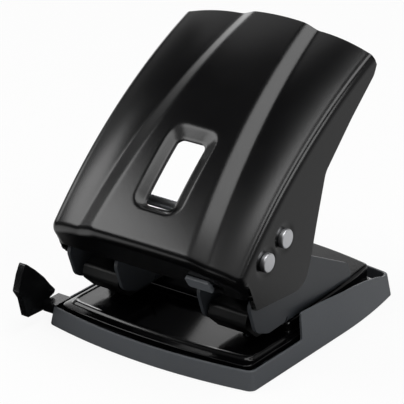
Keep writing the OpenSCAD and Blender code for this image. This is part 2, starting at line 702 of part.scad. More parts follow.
module lever_skin() {
    nc = 2 * half_columns - 1;
    nr = all_rows + 1;
    base = nr * nc;
    points = concat(
        [for (i = [0:nr - 1]) for (c = [0:nc - 1]) skin_full(i, c)],
        [for (i = [0:nr - 1]) for (c = [0:nc - 1]) inner_full(i, c)]);
    function at(i, c) = i * nc + c;
    polyhedron(
        points = points,
        faces = concat(
            [for (i = [0:nr - 2]) for (c = [0:nc - 2]) each
                [[at(i, c), at(i, c + 1), at(i + 1, c + 1)], [at(i, c), at(i + 1, c + 1), at(i + 1, c)]]],
            [for (i = [0:nr - 2]) for (c = [0:nc - 2]) each
                [[base + at(i, c), base + at(i + 1, c + 1), base + at(i, c + 1)],
                    [base + at(i, c), base + at(i + 1, c), base + at(i + 1, c + 1)]]],
            [for (c = [0:nc - 2]) each
                [[at(0, c), base + at(0, c), base + at(0, c + 1)], [at(0, c), base + at(0, c + 1), at(0, c + 1)],
                    [at(nr - 1, c), base + at(nr - 1, c + 1), base + at(nr - 1, c)],
                    [at(nr - 1, c), at(nr - 1, c + 1), base + at(nr - 1, c + 1)]]],
            [for (i = [0:nr - 2]) each
                [[at(i, 0), at(i + 1, 0), base + at(i + 1, 0)], [at(i, 0), base + at(i + 1, 0), base + at(i, 0)],
                    [at(i, nc - 1), base + at(i + 1, nc - 1), at(i + 1, nc - 1)],
                    [at(i, nc - 1), base + at(i, nc - 1), base + at(i + 1, nc - 1)]]]),
        convexity = 10);
}

// Side view of a cheek: the bend line on top, then round by the front, the foot and the rear
function cheek_outline() = concat(
    [for (i = [0:all_rows]) let (q = skin(i, half_columns - 1)) [q[1], q[2]]],
    let (foot = apron_foot - 0.5 * apron_up, end = skin(0, half_columns - 1))
    rounded_outline([
        [foot[0], foot[1], 0], [-59.6, 39.6, 2.5], [-15.5, 36.4, 10], [-10, 49, 0], [-5, 68, 0],
        [2.2, 92.8, 10], [25, 114.8, 0], [44.6, 131.6, 4], [47.3, 136.6, 2], [end[1], end[2], 0]]));

window_angle = 131.3;
recess_angle = 130.9;
recess_l = 53;
recess_w = 31;
recess_rim = 1.3;
recess_floor = recess_depth + 0.8;
module on_lever(angle, height) translate([0, arc_centre[0], arc_centre[1]]) rotate([angle - 90, 0, 0])
    translate([0, 0, lever_arc + height]) children();
module on_apron() translate([0, apron_foot[0], apron_foot[1]]) rotate([apron_normal_angle - 90, 0, 0]) children();

// Dish with sloping walls, grown all round: its rim lies at one height and its floor at another
module dish(grow, floor_h, rim_h) hull() {
    translate([0, 0, floor_h]) linear_extrude(eps)
        rounded(recess_w - 9 + 2 * grow, recess_l - 9 + 2 * grow, 3 + grow);
    translate([0, 0, rim_h]) linear_extrude(eps) rounded(recess_w + 2 * grow, recess_l + 2 * grow, 7 + grow);
}

slot_low = 27;
slot_w = 4.4;
slot_l = lock_w - 2 + lock_travel;
slot_up = 5.4;

module lever() color("#17181a") difference() {
    union() {
        difference() {
            lever_skin();
            on_lever(recess_angle, panel_h) translate([0, 0, -6]) linear_extrude(12) rounded(recess_w, recess_l, 7);
        }
        difference() {
            on_lever(recess_angle, panel_h) dish(lever_t, -recess_floor - lever_t, -recess_rim);
            on_lever(recess_angle, panel_h) dish(0, -recess_floor, -recess_rim + eps);
        }
        for (side = [-1, 1])
            side_plate(side > 0 ? lever_half - lever_t : -lever_half, side > 0 ? lever_half : -lever_half + lever_t,
                cheek_outline());
    }
    on_lever(window_angle, panel_h) translate([0, 0, -12]) linear_extrude(24) rounded(window_w, window_l, 3.5);
    on_apron() translate([slot_low + slot_l / 2, slot_up, -4]) linear_extrude(8) rounded(slot_l, slot_w, slot_w / 2 - eps);
    rod_x(rod_d + 2 * run_gap, -lever_half - 1, lever_half + 1, pivot_y, pivot_z);
    rod_x(rod_d, -lever_half - 1, lever_half + 1, drive_y, drive_z);
}

// ---------- lock: a slider on the apron with a steel plate behind it ----------

lock_neck_w = lock_w - 2.4;
lock_x = slot_low + lock_neck_w / 2 + 0.2;
lock_play = 0.1;
lock_knob_t = 2.2;
lock_plate_t = 1.2;
lock_plate_w = lock_w + 4;
lock_plate_h = lock_h + 0.8;
lock_pin_d = 2.4;
lock_pin_x = 3.6;
module lock_slider() color("#3a3c3e") on_apron() translate([lock_x, slot_up, 0]) {
    back = -lever_t - lock_play;
    translate([0, 0, lock_play]) linear_extrude(lock_knob_t) rounded(lock_w, lock_h, 1.6);
    translate([0, 0, back]) linear_extrude(lock_play - back + eps)
        rounded(lock_neck_w, slot_w - 0.3, 1.6);
    // pins that go through the plate and are staked over behind it
    for (x = [-lock_pin_x, lock_pin_x]) translate([x, 0, back - lock_plate_t - 0.5])
        cylinder(d = lock_pin_d, h = lock_plate_t + 0.5 + eps);
}
module lock_plate() color("#9c9ea1") on_apron()
    translate([lock_x, slot_up, -lever_t - lock_play - lock_plate_t]) difference() {
        union() {
            linear_extrude(lock_plate_t) rounded(lock_plate_w, lock_plate_h, 1.5);
            // lip bent inwards along the lower edge
            translate([-3, -lock_plate_h / 2, -4]) cube([6, lock_plate_t, 4 + lock_plate_t / 2]);
        }
        for (x = [-lock_pin_x, lock_pin_x]) translate([x, 0, -1]) cylinder(d = lock_pin_d, h = lock_plate_t + 2);
    }

// ---------- drawing ----------

tray();
anti_slip_mat();
hinge_pins();
paper_guide();
base_plate();
die_left();
die_right();
bracket_left();
bracket_right();
punch_guide_left();
punch_guide_right();
guide_rivets();
pivot_rod();
pivot_cap();
punch_left();
punch_right();
punch_collar_left();
punch_collar_right();
return_spring_left();
return_spring_right();
lever();
drive_rod();
drive_cap();
lock_slider();
lock_plate();
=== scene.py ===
"""Looks of a two-hole desk punch: every piece gets its finished mesh and material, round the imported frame.

Sizes are in millimetres in the row's frame (X along the paper edge, Y to the rear, Z up) and become
metres when a mesh is made."""

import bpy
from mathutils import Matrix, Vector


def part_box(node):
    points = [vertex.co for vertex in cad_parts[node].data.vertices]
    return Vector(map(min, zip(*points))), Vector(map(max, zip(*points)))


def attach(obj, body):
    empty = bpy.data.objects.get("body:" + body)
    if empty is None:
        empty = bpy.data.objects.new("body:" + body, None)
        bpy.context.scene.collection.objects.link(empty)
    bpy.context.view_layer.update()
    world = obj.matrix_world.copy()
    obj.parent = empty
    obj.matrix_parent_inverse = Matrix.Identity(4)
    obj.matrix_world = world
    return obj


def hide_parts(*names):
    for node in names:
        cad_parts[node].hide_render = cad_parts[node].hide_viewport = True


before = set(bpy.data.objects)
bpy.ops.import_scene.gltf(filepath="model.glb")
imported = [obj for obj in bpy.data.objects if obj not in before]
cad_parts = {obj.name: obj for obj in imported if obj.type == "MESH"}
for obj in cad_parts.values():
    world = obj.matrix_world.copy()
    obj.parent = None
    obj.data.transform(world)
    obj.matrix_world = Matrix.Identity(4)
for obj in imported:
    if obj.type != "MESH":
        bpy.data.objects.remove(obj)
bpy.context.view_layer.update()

import math
from functools import partial

import bmesh
import bpy
import numpy as np
from bpy.props import FloatProperty, FloatVectorProperty, PointerProperty
from bpy.types import Operator, Panel, PropertyGroup
from mathutils import Matrix, Vector

bl_info = {
    "name": "Desk Punch",
    "version": (1, 0, 0),
    "blender": (4, 5, 0),
    "location": "3D View > Sidebar > Punch",
    "description": "Builds the finished pieces of a two-hole desk punch",
    "category": "Add Mesh",
}

MM = 0.001
SIDES = (-1, 1)
SIDE_NAMES = {-1: "left", 1: "right"}


def span(node):
    """Lowest and highest corner of a node in millimetres."""
    low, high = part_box(node)
    return np.array(low) / MM, np.array(high) / MM


def middle(node):
    """Middle of a node's box in millimetres."""
    low, high = span(node)
    return (low + high) / 2


# Places taken from the frame

TRAY_LOW, TRAY_HIGH = span("tray")
PLATE_LOW, PLATE_HIGH = span("base_plate")
PIVOT = middle("pivot_cap")[1:]
DRIVE = middle("drive_cap")[1:]
LEVER_HALF = span("lever")[1][0]
PUNCH_X = middle("punch_right")[0]
PUNCH_Y = middle("punch_right")[1]

# Sizes of the lever

LEVER_ARC = 312.0
FRONT_RUN, LEVER_RUN, LEVER_RISE = 18.0, 114.0, 80.5
PANEL_H, BAND_H, EDGE_H, PANEL_CROWN = 6.5, 3.5, 0.5, 0.6
PANEL_HALF = (30.0, 16.0)
BAND_HALF = (40.0, 23.5)
CREASE = 1.5
FACET_DOME = 0.035
CHEEK_BEND, FOLD_R = 4.0, 6.0
BEND_X = LEVER_HALF - CHEEK_BEND
REAR_REACH, REAR_BOW = 3.0, 5.8
APRON_ANGLE = math.radians(180 + 33.4)
APRON_OUT = np.array([math.cos(APRON_ANGLE), math.sin(APRON_ANGLE)])
APRON_UP = np.array([APRON_OUT[1], -APRON_OUT[0]])
APRON_FOOT = np.array([PIVOT[0] - 19.9 + 4.8, 47.0])
RECESS_ANGLE, WINDOW_ANGLE = math.radians(130.75), math.radians(131.25)
RECESS_HALF, RECESS_CORNER = (15.6, 25.6), 8.0
RECESS_ROUNDING, RECESS_LEDGE = 0.3, 0.6
WINDOW_CORNER = 3.5
SLOT_X, SLOT_UP, SLOT_HALF = 37.25, 5.4, (10.25, 2.2)
SLOT_CORNER = SLOT_HALF[1] - 0.01
TOP_END = 0.985
SNAP_TOP, SNAP_APRON = 0.5, 0.52
FAR = 99.0
DIMPLE_IN, DIMPLE_OUT, DIMPLE_DEPTH = 6.0, 8.6, 0.5

FRONT_END = PIVOT + [-FRONT_RUN, 0]
REAR_END = FRONT_END + [LEVER_RUN, LEVER_RISE]
CHORD = REAR_END - FRONT_END
CHORD_LENGTH = np.hypot(*CHORD)
ARC_CENTRE = (FRONT_END + REAR_END) / 2 - np.array([-CHORD[1], CHORD[0]]) / CHORD_LENGTH * math.sqrt(
    LEVER_ARC ** 2 - CHORD_LENGTH ** 2 / 4)
REAR_ANGLE = math.atan2(*(REAR_END - ARC_CENTRE)[::-1])

# Side view of a cheek below the bend: [y, z, corner radius], from the rear to the front foot
CHEEK_CORNERS = [
    (46.9, 136.7, 0), (44.6, 131.6, 4), (25, 114.8, 30), (2.2, 92.8, 10), (-5, 68, 60), (-10, 49, 60),
    (-15.5, 36.4, 10), (-58.4, 39.5, 2.5), (*(APRON_FOOT - CHEEK_BEND * APRON_OUT - 0.9 * APRON_UP), 0)]
# Where along the lever (0 rear end, 1 fold, 2 apron, 3 foot) each of these corners is met
CHEEK_KEYS = {0: 0.0, 3: 0.357, 6: 0.66, 7: 1.55, 8: 3.0}

# Sizes of the other pieces

TRAY_BOW, TRAY_REAR_BOW, TRAY_TAPER, TRAY_CORNER = 7.0, 4.0, 4.5, 4.0
TRAY_LEAN, TRAY_INNER_LEAN = math.tan(math.radians(8)), math.tan(math.radians(7))
TRAY_WALL, TRAY_FLOOR_Z = 1.5, 2.5
TRAY_RIM, TRAY_FOOT = 0.45, 0.35
TAPER_FROM, TAPER_TO = 14.0, TRAY_HIGH[1] - 8
# Height of the tray's side wall: [y, z] from the front over the step to the rear rim
WALL_TOP = np.array([
    (-90, 10.5), (-23.2, 10.5), (-22.2, 10.7), (-21.6, 11.6), (-20.9, 23), (-20.5, 24.3), (-19.6, 24.75),
    (-3.5, 23.8), (15, 22), (28, 20.9), (40, 19.2), (48.6, 17.4), (56, 15.4), (61, 13.9), (65, 13.1),
    (90, 13)])
PLATE_HALF = 59.67
PLATE_BOW, PLATE_CORNER = 4.0, 4.5
FIELD_Z, RIM_Z, REAR_RIM_Z = 12.5, 9.0, 10.8
# Widths across the front of the low flange along the rim, of the bead's outer and of its inner
# slope, and the share of these widths at the sides and at the rear
FLANGE, BEAD_OUTER, BEAD_INNER, FLANGE_Z = 4.0, 2.4, 1.7, 11.5
SHARE_AT_SIDES, SHARE_AT_REAR = 0.53, 0.3
# Rounding from the rim to the flange, [way in, way down], and hollow at the platform's foot, [way in, rise]
RIM_EDGE = [(0, 0.5), (0.15, 0.2), (0.6, 0)]
PLATFORM_FOOT = [(-0.42, 0.0), (-0.3, 0.03), (-0.12, 0.16), (0.0, 0.45), (0.0, 1.2)]
PLATFORM_EDGE, REAR_EDGE_LESS = 2.6, 1.2
PLATE_REAR_EXTRA = 2.4
PLATFORM_HALF, PLATFORM_CORNER = 55.37, 3.5
PLATFORM_REAR_BOW = 5.0
STOP_Y = PUNCH_Y + 12
PLATFORM_Z = 18.5
PLATFORM_SLOPE = math.tan(math.radians(2))
HINGE = middle("hinge_pins")[1:]
HINGE_TAB_X, HINGE_TAB_T, HINGE_GAP, TAB_SUNK = 30.0, 3.0, 0.4, 1.2
# Outlines from the hinge's axis, [y, z]: foot of a lug on the tray's floor, its top, and the tab
# under the platform with the two y at which it meets the sheet
LUG_FOOT, LUG_TOP = (-6, 4.4), [(3.2, 2.2), (1, 3.6), (-1, 3.6), (-3.4, 2.2)]
TAB_ROOT, TAB_FOOT = (-6, 1), [(-4, 0), (-2.6, -2.6), (0, -3.4), (2.2, -2.2), (3, 0)]
GUIDE_Y, GUIDE_HALF, GUIDE_Z, GUIDE_GAP = -58.55, 6.25, 5.6, 0.35
NOTCH_IN, NOTCH_OUT, NOTCH_TOP = 6.0, 9.0, 30.0
RAIL_HALF, RAIL_AWAY, RAIL_RISE, RAIL_IN = 0.8, 1.2, 1.4, 6.0
POST_RADIUS, POST_IN, POST_AHEAD, POST_UNDER = 2.5, 11.0, 9.0, 1.7
HOLE_RADIUS, ROD_RADIUS, CENTRE_RADIUS = 3.15, 3.0, 0.4
# Worn edge of a rod's head: [way in from the outer face, way down from the full radius]
HEAD_EDGE = [(0, 0.9), (0.12, 0.45), (0.5, 0)]
WIRE_D, SPRING_D, SPRING_CURLS, END_CURL = 1.2, 9.0, 7, 0.75
SPRING_STEPS, WIRE_FACETS = 28, 12

# Camera, fitted to the photograph

CAMERA_PLACE = (0.6364, -0.8839, 0.5270)
CAMERA_AZIMUTH, CAMERA_ELEVATION = math.radians(36.4), math.radians(23.1)
CAMERA_FOCAL_PIXELS, FRAME_PIXELS, SENSOR = 2300, 404, 36.0


# Settings a user would change

def linear(hex_colour):
    """Linear colour of a hex sRGB value: the usual curve undone for each channel."""
    c = np.array([int(hex_colour[i:i + 2], 16) for i in (1, 3, 5)]) / 255
    return tuple(np.where(c <= 0.04045, c / 12.92, ((c + 0.055) / 1.055) ** 2.4))


def length(name, description, default):
    """A size in millimetres, kept as a length."""
    return FloatProperty(name=name, description=description, default=default * MM, unit="LENGTH",
                         subtype="DISTANCE", precision=5)


def colour(name, description, default):
    """A colour given as a hex sRGB value."""
    return FloatVectorProperty(name=name, description=description, default=linear(default),
                               subtype="COLOR", size=3, min=0, max=1)


class PunchSizes(PropertyGroup):
    """Sizes of the finished pieces."""
    lever_sheet: length("Lever sheet", "Sheet thickness of the lever", 1.5)
    plate_sheet: length("Plate sheet", "Sheet thickness of the base plate", 1.6)
    recess_depth: length("Recess depth", "Depth of the pressed recess round the window", 2.8)
    window_width: length("Window width", "Width of the window in the lever", 17.2)
    window_length: length("Window length", "Length of the window in the lever", 39.4)
    bead: length("Bead", "Height of the bead along the edge of the base plate", 0.5)
    sheet_edge: length("Sheet edge", "Rounding of the cut edges of sheet metal", 0.3)
    moulded_edge: length("Moulded edge", "Rounding of the edges of moulded pieces", 0.5)
    grain: length("Grain", "Grain size of the moulded plastic", 0.9)


class PunchColours(PropertyGroup):
    """Colours of the finishes."""
    lever: colour("Lever enamel", "Satin black enamel of the lever", "#070708")
    plate: colour("Plate enamel", "Gloss black enamel of the base plate", "#050506")
    bracket: colour("Bracket coating", "Powder coating of the brackets", "#34373b")
    tray: colour("Tray plastic", "Moulded plastic of the tray", "#54575b")
    guide: colour("Guide plastic", "Plastic of the paper guide and its fin", "#0d0e0f")
    slider: colour("Slider plastic", "Plastic of the lock slider", "#55585c")
    steel: colour("Bright steel", "Zinc-plated rods and their heads", "#ecedf0")
    floor: colour("Floor", "Pale floor under the punch", "#f4f4f4")


# Meshes worked out with arrays

def loft(rings, low_cap=True):
    """Surface through closed rings with the same number of points: the quad between ring k and k+1
    at point i uses points i and i+1 of both. One flat face closes the last ring, and one the first
    where low_cap says so."""
    n, m = len(rings[0]), len(rings)
    k, i = np.meshgrid(np.arange(m - 1), np.arange(n), indexing="ij")
    j = (i + 1) % n
    faces = np.stack([k * n + i, k * n + j, (k + 1) * n + j, (k + 1) * n + i], -1).reshape(-1, 4).tolist()
    if low_cap:
        faces.append(list(range(n))[::-1])
    faces.append(list(range((m - 1) * n, m * n)))
    return np.concatenate(rings), faces


def prism(outline, x0, x1):
    """Plate between x0 and x1: the same [y, z] outline, counter-clockwise from the right, at both."""
    return loft([np.column_stack([np.full(len(outline), float(x)), outline]) for x in (x0, x1)])


def turned(profile, place, axis, count=64):
    """Profile of [distance along the axis, radius] pairs turned round an axis through a place: each
    pair becomes a circle."""
    angle = np.arange(count) * 2 * math.pi / count
    rings = []
    for along, radius in profile:
        c, s = radius * np.cos(angle), radius * np.sin(angle)
        a = np.full(count, float(along))
        ring = np.column_stack([a, c, s] if axis == "X" else [c, s, a])
        rings.append(ring + place)
    return loft(rings)


def both(*parts):
    """Several (points, faces) pairs as one: each pair's faces count on from the points before it."""
    faces, start = [], 0
    for points, own_faces in parts:
        faces += [(np.array(face) + start).tolist() for face in own_faces]
        start += len(points)
    return np.concatenate([points for points, _ in parts]), faces


def rounded_corners(corners, steps=8):
    """Outline through corners given as (y, z, radius), open at both ends: each corner becomes an arc
    that touches both of its sides."""
    points = [corners[0][:2]]
    for before, corner, after in zip(corners[:-2], corners[1:-1], corners[2:]):
        b = np.array(corner[:2], float)
        u, v = np.array(before[:2]) - b, np.array(after[:2]) - b
        u, v = u / np.hypot(*u), v / np.hypot(*v)
        half = math.acos(np.clip(u @ v, -1, 1)) / 2
        centre = b + (u + v) / np.hypot(*(u + v)) * corner[2] / math.sin(half)
        start, end = b + u * corner[2] / math.tan(half), b + v * corner[2] / math.tan(half)
        a0, a1 = math.atan2(*(start - centre)[::-1]), math.atan2(*(end - centre)[::-1])
        turn = (a1 - a0 + math.pi) % (2 * math.pi) - math.pi
        angle = a0 + turn * np.linspace(0, 1, steps)
        points += list(centre + corner[2] * np.column_stack([np.cos(angle), np.sin(angle)]))
    return np.array([*points, corners[-1][:2]])


def make(name, geometry, material, body, replaces=()):
    """Object from (points, faces) in millimetres that rides on a body and stands for CAD nodes."""
    points, faces = geometry
    mesh = bpy.data.meshes.new(name)
    mesh.from_pydata((np.asarray(points) * MM).tolist(), [], faces, shade_flat=False)
    mesh.validate()
    return placed(bpy.data.objects.new(name, mesh), material, body, replaces)


def placed(obj, material, body, replaces):
    """Links an object, gives it its only material, puts it on its body and hides the CAD nodes it stands
    for.
    """
    bpy.context.scene.collection.objects.link(obj)
    obj.data.materials.clear()
    obj.data.materials.append(material)
    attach(obj, body)
    if replaces:
        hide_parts(*replaces)
    return obj


def dressed(node, name, material, body, edge):
    """Copy of a CAD node with its doubles merged and its flat faces whole, whose edges are rounded."""
    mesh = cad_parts[node].data.copy()
    mesh.name = name
    work = bmesh.new()
    work.from_mesh(mesh)
    bmesh.ops.remove_doubles(work, verts=work.verts, dist=2e-6)
    bmesh.ops.dissolve_limit(work, angle_limit=math.radians(0.4), verts=work.verts, edges=work.edges)
    for face in work.faces:
        face.smooth = True
    work.to_mesh(mesh)
    work.free()
    if "custom_normal" in mesh.attributes:
        mesh.attributes.remove(mesh.attributes["custom_normal"])
    return rounded(placed(bpy.data.objects.new(name, mesh), material, body, (node,)), edge)


def rounded(obj, edge, angle=30):
    """Rounds the edges sharper than an angle, and lets the large faces set the shading."""
    bevel = obj.modifiers.new("edges", "BEVEL")
    bevel.width = edge
    bevel.segments = 2
    bevel.limit_method = "ANGLE"
    bevel.angle_limit = math.radians(angle)
    shading = obj.modifiers.new("shading", "WEIGHTED_NORMAL")
    shading.weight = 60
    return obj


def cut(obj, geometry):
    """Takes a closed shape out of an object's finished mesh."""
    mesh = bpy.data.meshes.new("cutter")
    mesh.from_pydata((np.asarray(geometry[0]) * MM).tolist(), [], geometry[1])
    cutter = bpy.data.objects.new("cutter", mesh)
    bpy.context.scene.collection.objects.link(cutter)
    hole = obj.modifiers.new("cut", "BOOLEAN")
    hole.operation = "DIFFERENCE"
    hole.solver = "EXACT"
    hole.object = cutter
    bpy.context.view_layer.update()
    finished = bpy.data.meshes.new_from_object(obj.evaluated_get(bpy.context.evaluated_depsgraph_get()))
    obj.modifiers.clear()
    obj.data = finished
    bpy.data.objects.remove(cutter)
    return obj


def thickened(obj, thickness):
    """Gives a skin its sheet thickness on the inside."""
    wall = obj.modifiers.new("sheet", "SOLIDIFY")
    wall.thickness = thickness
    wall.offset = -1
    wall.use_even_offset = False
    return obj


# Plan outlines

def plan(half, front, bow, rear, rear_bow, corner, side_share):
    """Plan outline, counter-clockwise, and the inward direction at each of its points. Front and rear
    are parabolas, the sides draw in by the square of the distance past TAPER_FROM, and arcs join them.
    Over both ends of a side, the inward direction turns from aslant to square."""
    turns, across, turning = 8, 10, 10.0

    def side_x(y):
        """Half width at y."""
        return half - TRAY_TAPER * np.maximum(0, (y - TAPER_FROM) / (TAPER_TO - TAPER_FROM)) ** 2
    slope = math.atan(2 * bow / half)
    x0 = half - corner + corner * math.sin(slope)
    cx, cy = half - corner, front + bow * (x0 / half) ** 2 + corner * math.cos(slope)
    ry = rear - rear_bow - corner
    rx = side_x(ry) - corner
    x = np.linspace(0, x0, across, endpoint=False)
    front_part = np.column_stack([x, front + bow * (x / half) ** 2, -x / x0, np.ones(across)])
    a = np.linspace(slope - math.pi / 2, 0, turns)
    ones = np.ones(turns)
    corner_part = np.column_stack([cx + corner * np.cos(a), cy + corner * np.sin(a), -ones, ones])
    y = cy + (ry - cy) * side_share
    fade = np.clip(1 - (y - cy) / turning, 0, 1) - np.clip(1 - (ry - y) / turning, 0, 1)
    side_part = np.column_stack([side_x(y), y, -np.ones(len(y)), fade])
    a = np.linspace(0, math.pi / 2, turns)
    rear_corner = np.column_stack([rx + corner * np.cos(a), ry + corner * np.sin(a), -ones, -ones])
    x = rx * (1 - np.arange(1, across + 1) / across)
    rear_part = np.column_stack([x, rear - rear_bow * (x / rx) ** 2, -x / rx, -np.ones(across)])
    halves = np.concatenate([front_part, corner_part, side_part, rear_corner, rear_part])
    whole = np.concatenate([halves, halves[-2:0:-1] * [-1, 1, -1, 1]])
    return whole[:, :2], whole[:, 2:]


def ring(outline, inward, inset, z):
    """Outline moved inwards by inset, at height z; both may differ from point to point."""
    inset, z = np.broadcast_arrays(inset, z, outline[:, 0])[:2]
    return np.column_stack([outline + inward * inset[:, None], z])


# The lever's skin

def direction(angle):
    """Unit vectors [y, z] at these angles."""
    return np.stack([np.cos(angle), np.sin(angle)], -1)


def ramp(t):
    """0 before a crease and t after it, joined by a parabola over the width of the crease."""
    return np.where(t <= -CREASE, 0, np.where(t >= CREASE, t, (t + CREASE) ** 2 / (4 * CREASE)))


def crown(x, s):
    """Height of the section over the bend line at x, with s from 0 at the front to 1 at the rear: a
    gently domed middle panel, a steep band and a flatter outer facet that swells by a parabola."""
    p = PANEL_HALF[0] + (PANEL_HALF[1] - PANEL_HALF[0]) * s
    b = BAND_HALF[0] + (BAND_HALF[1] - BAND_HALF[0]) * s
    steep, flat = (PANEL_H - BAND_H) / (b - p), (BAND_H - EDGE_H) / (BEND_X - b)
    dome = PANEL_CROWN * (1 - (np.minimum(x, p) / p) ** 2)
    t = np.clip((x - b) / (BEND_X - b), 0, 1)
    facet = FACET_DOME * (BEND_X - b) * 4 * t * (1 - t)
    return PANEL_H + dome + facet - steep * ramp(x - p) - (flat - steep) * ramp(x - b)


def fold_centre(k):
    """Centre of the front fold for a crown height k: as far inside the long curve and inside the
    apron's plane as the fold's radius."""
    q = APRON_FOOT - FOLD_R * APRON_OUT
    w = q - ARC_CENTRE
    b = w @ APRON_UP
    r = LEVER_ARC + k - FOLD_R
    return q + APRON_UP * (-b + np.sqrt(b * b - w @ w + r * r))[..., None]


def lever_turn(width, rho):
    """Angle on the long curve of a point at rho along it, and the angle where the fold begins."""
    x = np.minimum(width, BEND_X)
    fold = fold_centre(crown(x, 0.0)) - ARC_CENTRE
    end = np.arctan2(fold[..., 1], fold[..., 0])
    bow = REAR_BOW * (np.minimum(width, LEVER_HALF) / LEVER_HALF) ** 2
    start = REAR_ANGLE - (REAR_REACH - bow) / LEVER_ARC
    return start + (end - start) * np.clip(rho, 0, 1), end


def skin(width, rho, sunk=0.0):
    """Point of the outer skin. width runs from the middle plane outwards and on round the cheek bend,
    rho from 0 at the rear over 1 at the fold and 2 at the apron to 3 at its foot. The long part is an
    arc round ARC_CENTRE with the crown on top, the fold an arc round its own centre, and the apron
    straight; sunk moves the point inwards."""
    a = math.pi / 2 - np.clip(width - BEND_X, 0, CHEEK_BEND * math.pi / 2) / CHEEK_BEND
    flat = np.minimum(width, BEND_X)
    x = flat + CHEEK_BEND * np.cos(a)
    drop = CHEEK_BEND * (1 - np.sin(a)) + sunk
    turn, end = lever_turn(width, rho)
    height = LEVER_ARC + crown(flat, np.clip(1 - rho, 0, 1)) - drop
    long = ARC_CENTRE + height[..., None] * direction(turn)
    centre = fold_centre(crown(flat, 0.0))
    bend_angle = end + (APRON_ANGLE % (2 * math.pi) - end) * np.clip(rho - 1, 0, 1)
    bend = centre + (FOLD_R - drop)[..., None] * direction(bend_angle)
    top = centre + (FOLD_R - drop)[..., None] * APRON_OUT
    foot = APRON_FOOT - drop[..., None] * APRON_OUT
    apron = top + (foot - top) * np.clip(rho - 2, 0, 1)[..., None]
    yz = np.where((rho <= 1)[..., None], long, np.where((rho <= 2)[..., None], bend, apron))
    return np.concatenate([x[..., None], yz], -1)


def rounded_box(u, v, half, corner):
    """Signed distance to a rounded rectangle, negative inside it."""
    qu, qv = np.abs(u) - half[0] + corner, np.abs(v) - half[1] + corner
    outside = np.hypot(np.maximum(qu, 0), np.maximum(qv, 0))
    return outside + np.minimum(np.maximum(qu, qv), 0) - corner


def snapped(u, v, distance, reach):
    """Grid points within reach of an outline, moved onto it against the slope of its distance, and a
    state for every point: -1 inside, 0 on the outline, 1 outside."""
    step = 1e-3
    d = distance(u, v)
    du = (distance(u + step, v) - distance(u - step, v)) / (2 * step)
    dv = (distance(u, v + step) - distance(u, v - step)) / (2 * step)
    near = np.abs(d) < reach
    state = np.where(near, 0, np.sign(d)).astype(int)
    return np.where(near, u - d * du, u), np.where(near, v - d * dv, v), state


def graded(stops, counts):
    """Numbers from the first stop to the last, with so many even steps from each stop to the next."""
    parts = [np.linspace(a, b, n, endpoint=False) for a, b, n in zip(stops, stops[1:], counts)]
    return np.concatenate([*parts, stops[-1:]])


def grid_faces(state, inside_middle):
    """Quads and triangles of a grid without those inside an opening. A cell that has a corner inside
    and one outside keeps the triangle at its outside corner."""
    rows, columns = state.shape
    r, c = np.meshgrid(np.arange(rows - 1), np.arange(columns - 1), indexing="ij")
    a = r * columns + c
    cells = np.stack([a, a + columns, a + columns + 1, a + 1], -1).reshape(-1, 4)
    s = state.reshape(-1)[cells]
    inner, outer = (s < 0).any(1), (s > 0).any(1)
    whole = cells[~inner & (outer | ~inside_middle.reshape(-1))]
    mixed, sm = cells[inner & outer], s[inner & outer]
    corners = []
    for k in range(4):
        keep = (sm[:, k] > 0) & (sm[:, k - 1] >= 0) & (sm[:, (k + 1) % 4] >= 0)
        corners.append(np.stack([mixed[:, k - 1], mixed[:, k], mixed[:, (k + 1) % 4]], -1)[keep])
    return whole, np.concatenate(corners)


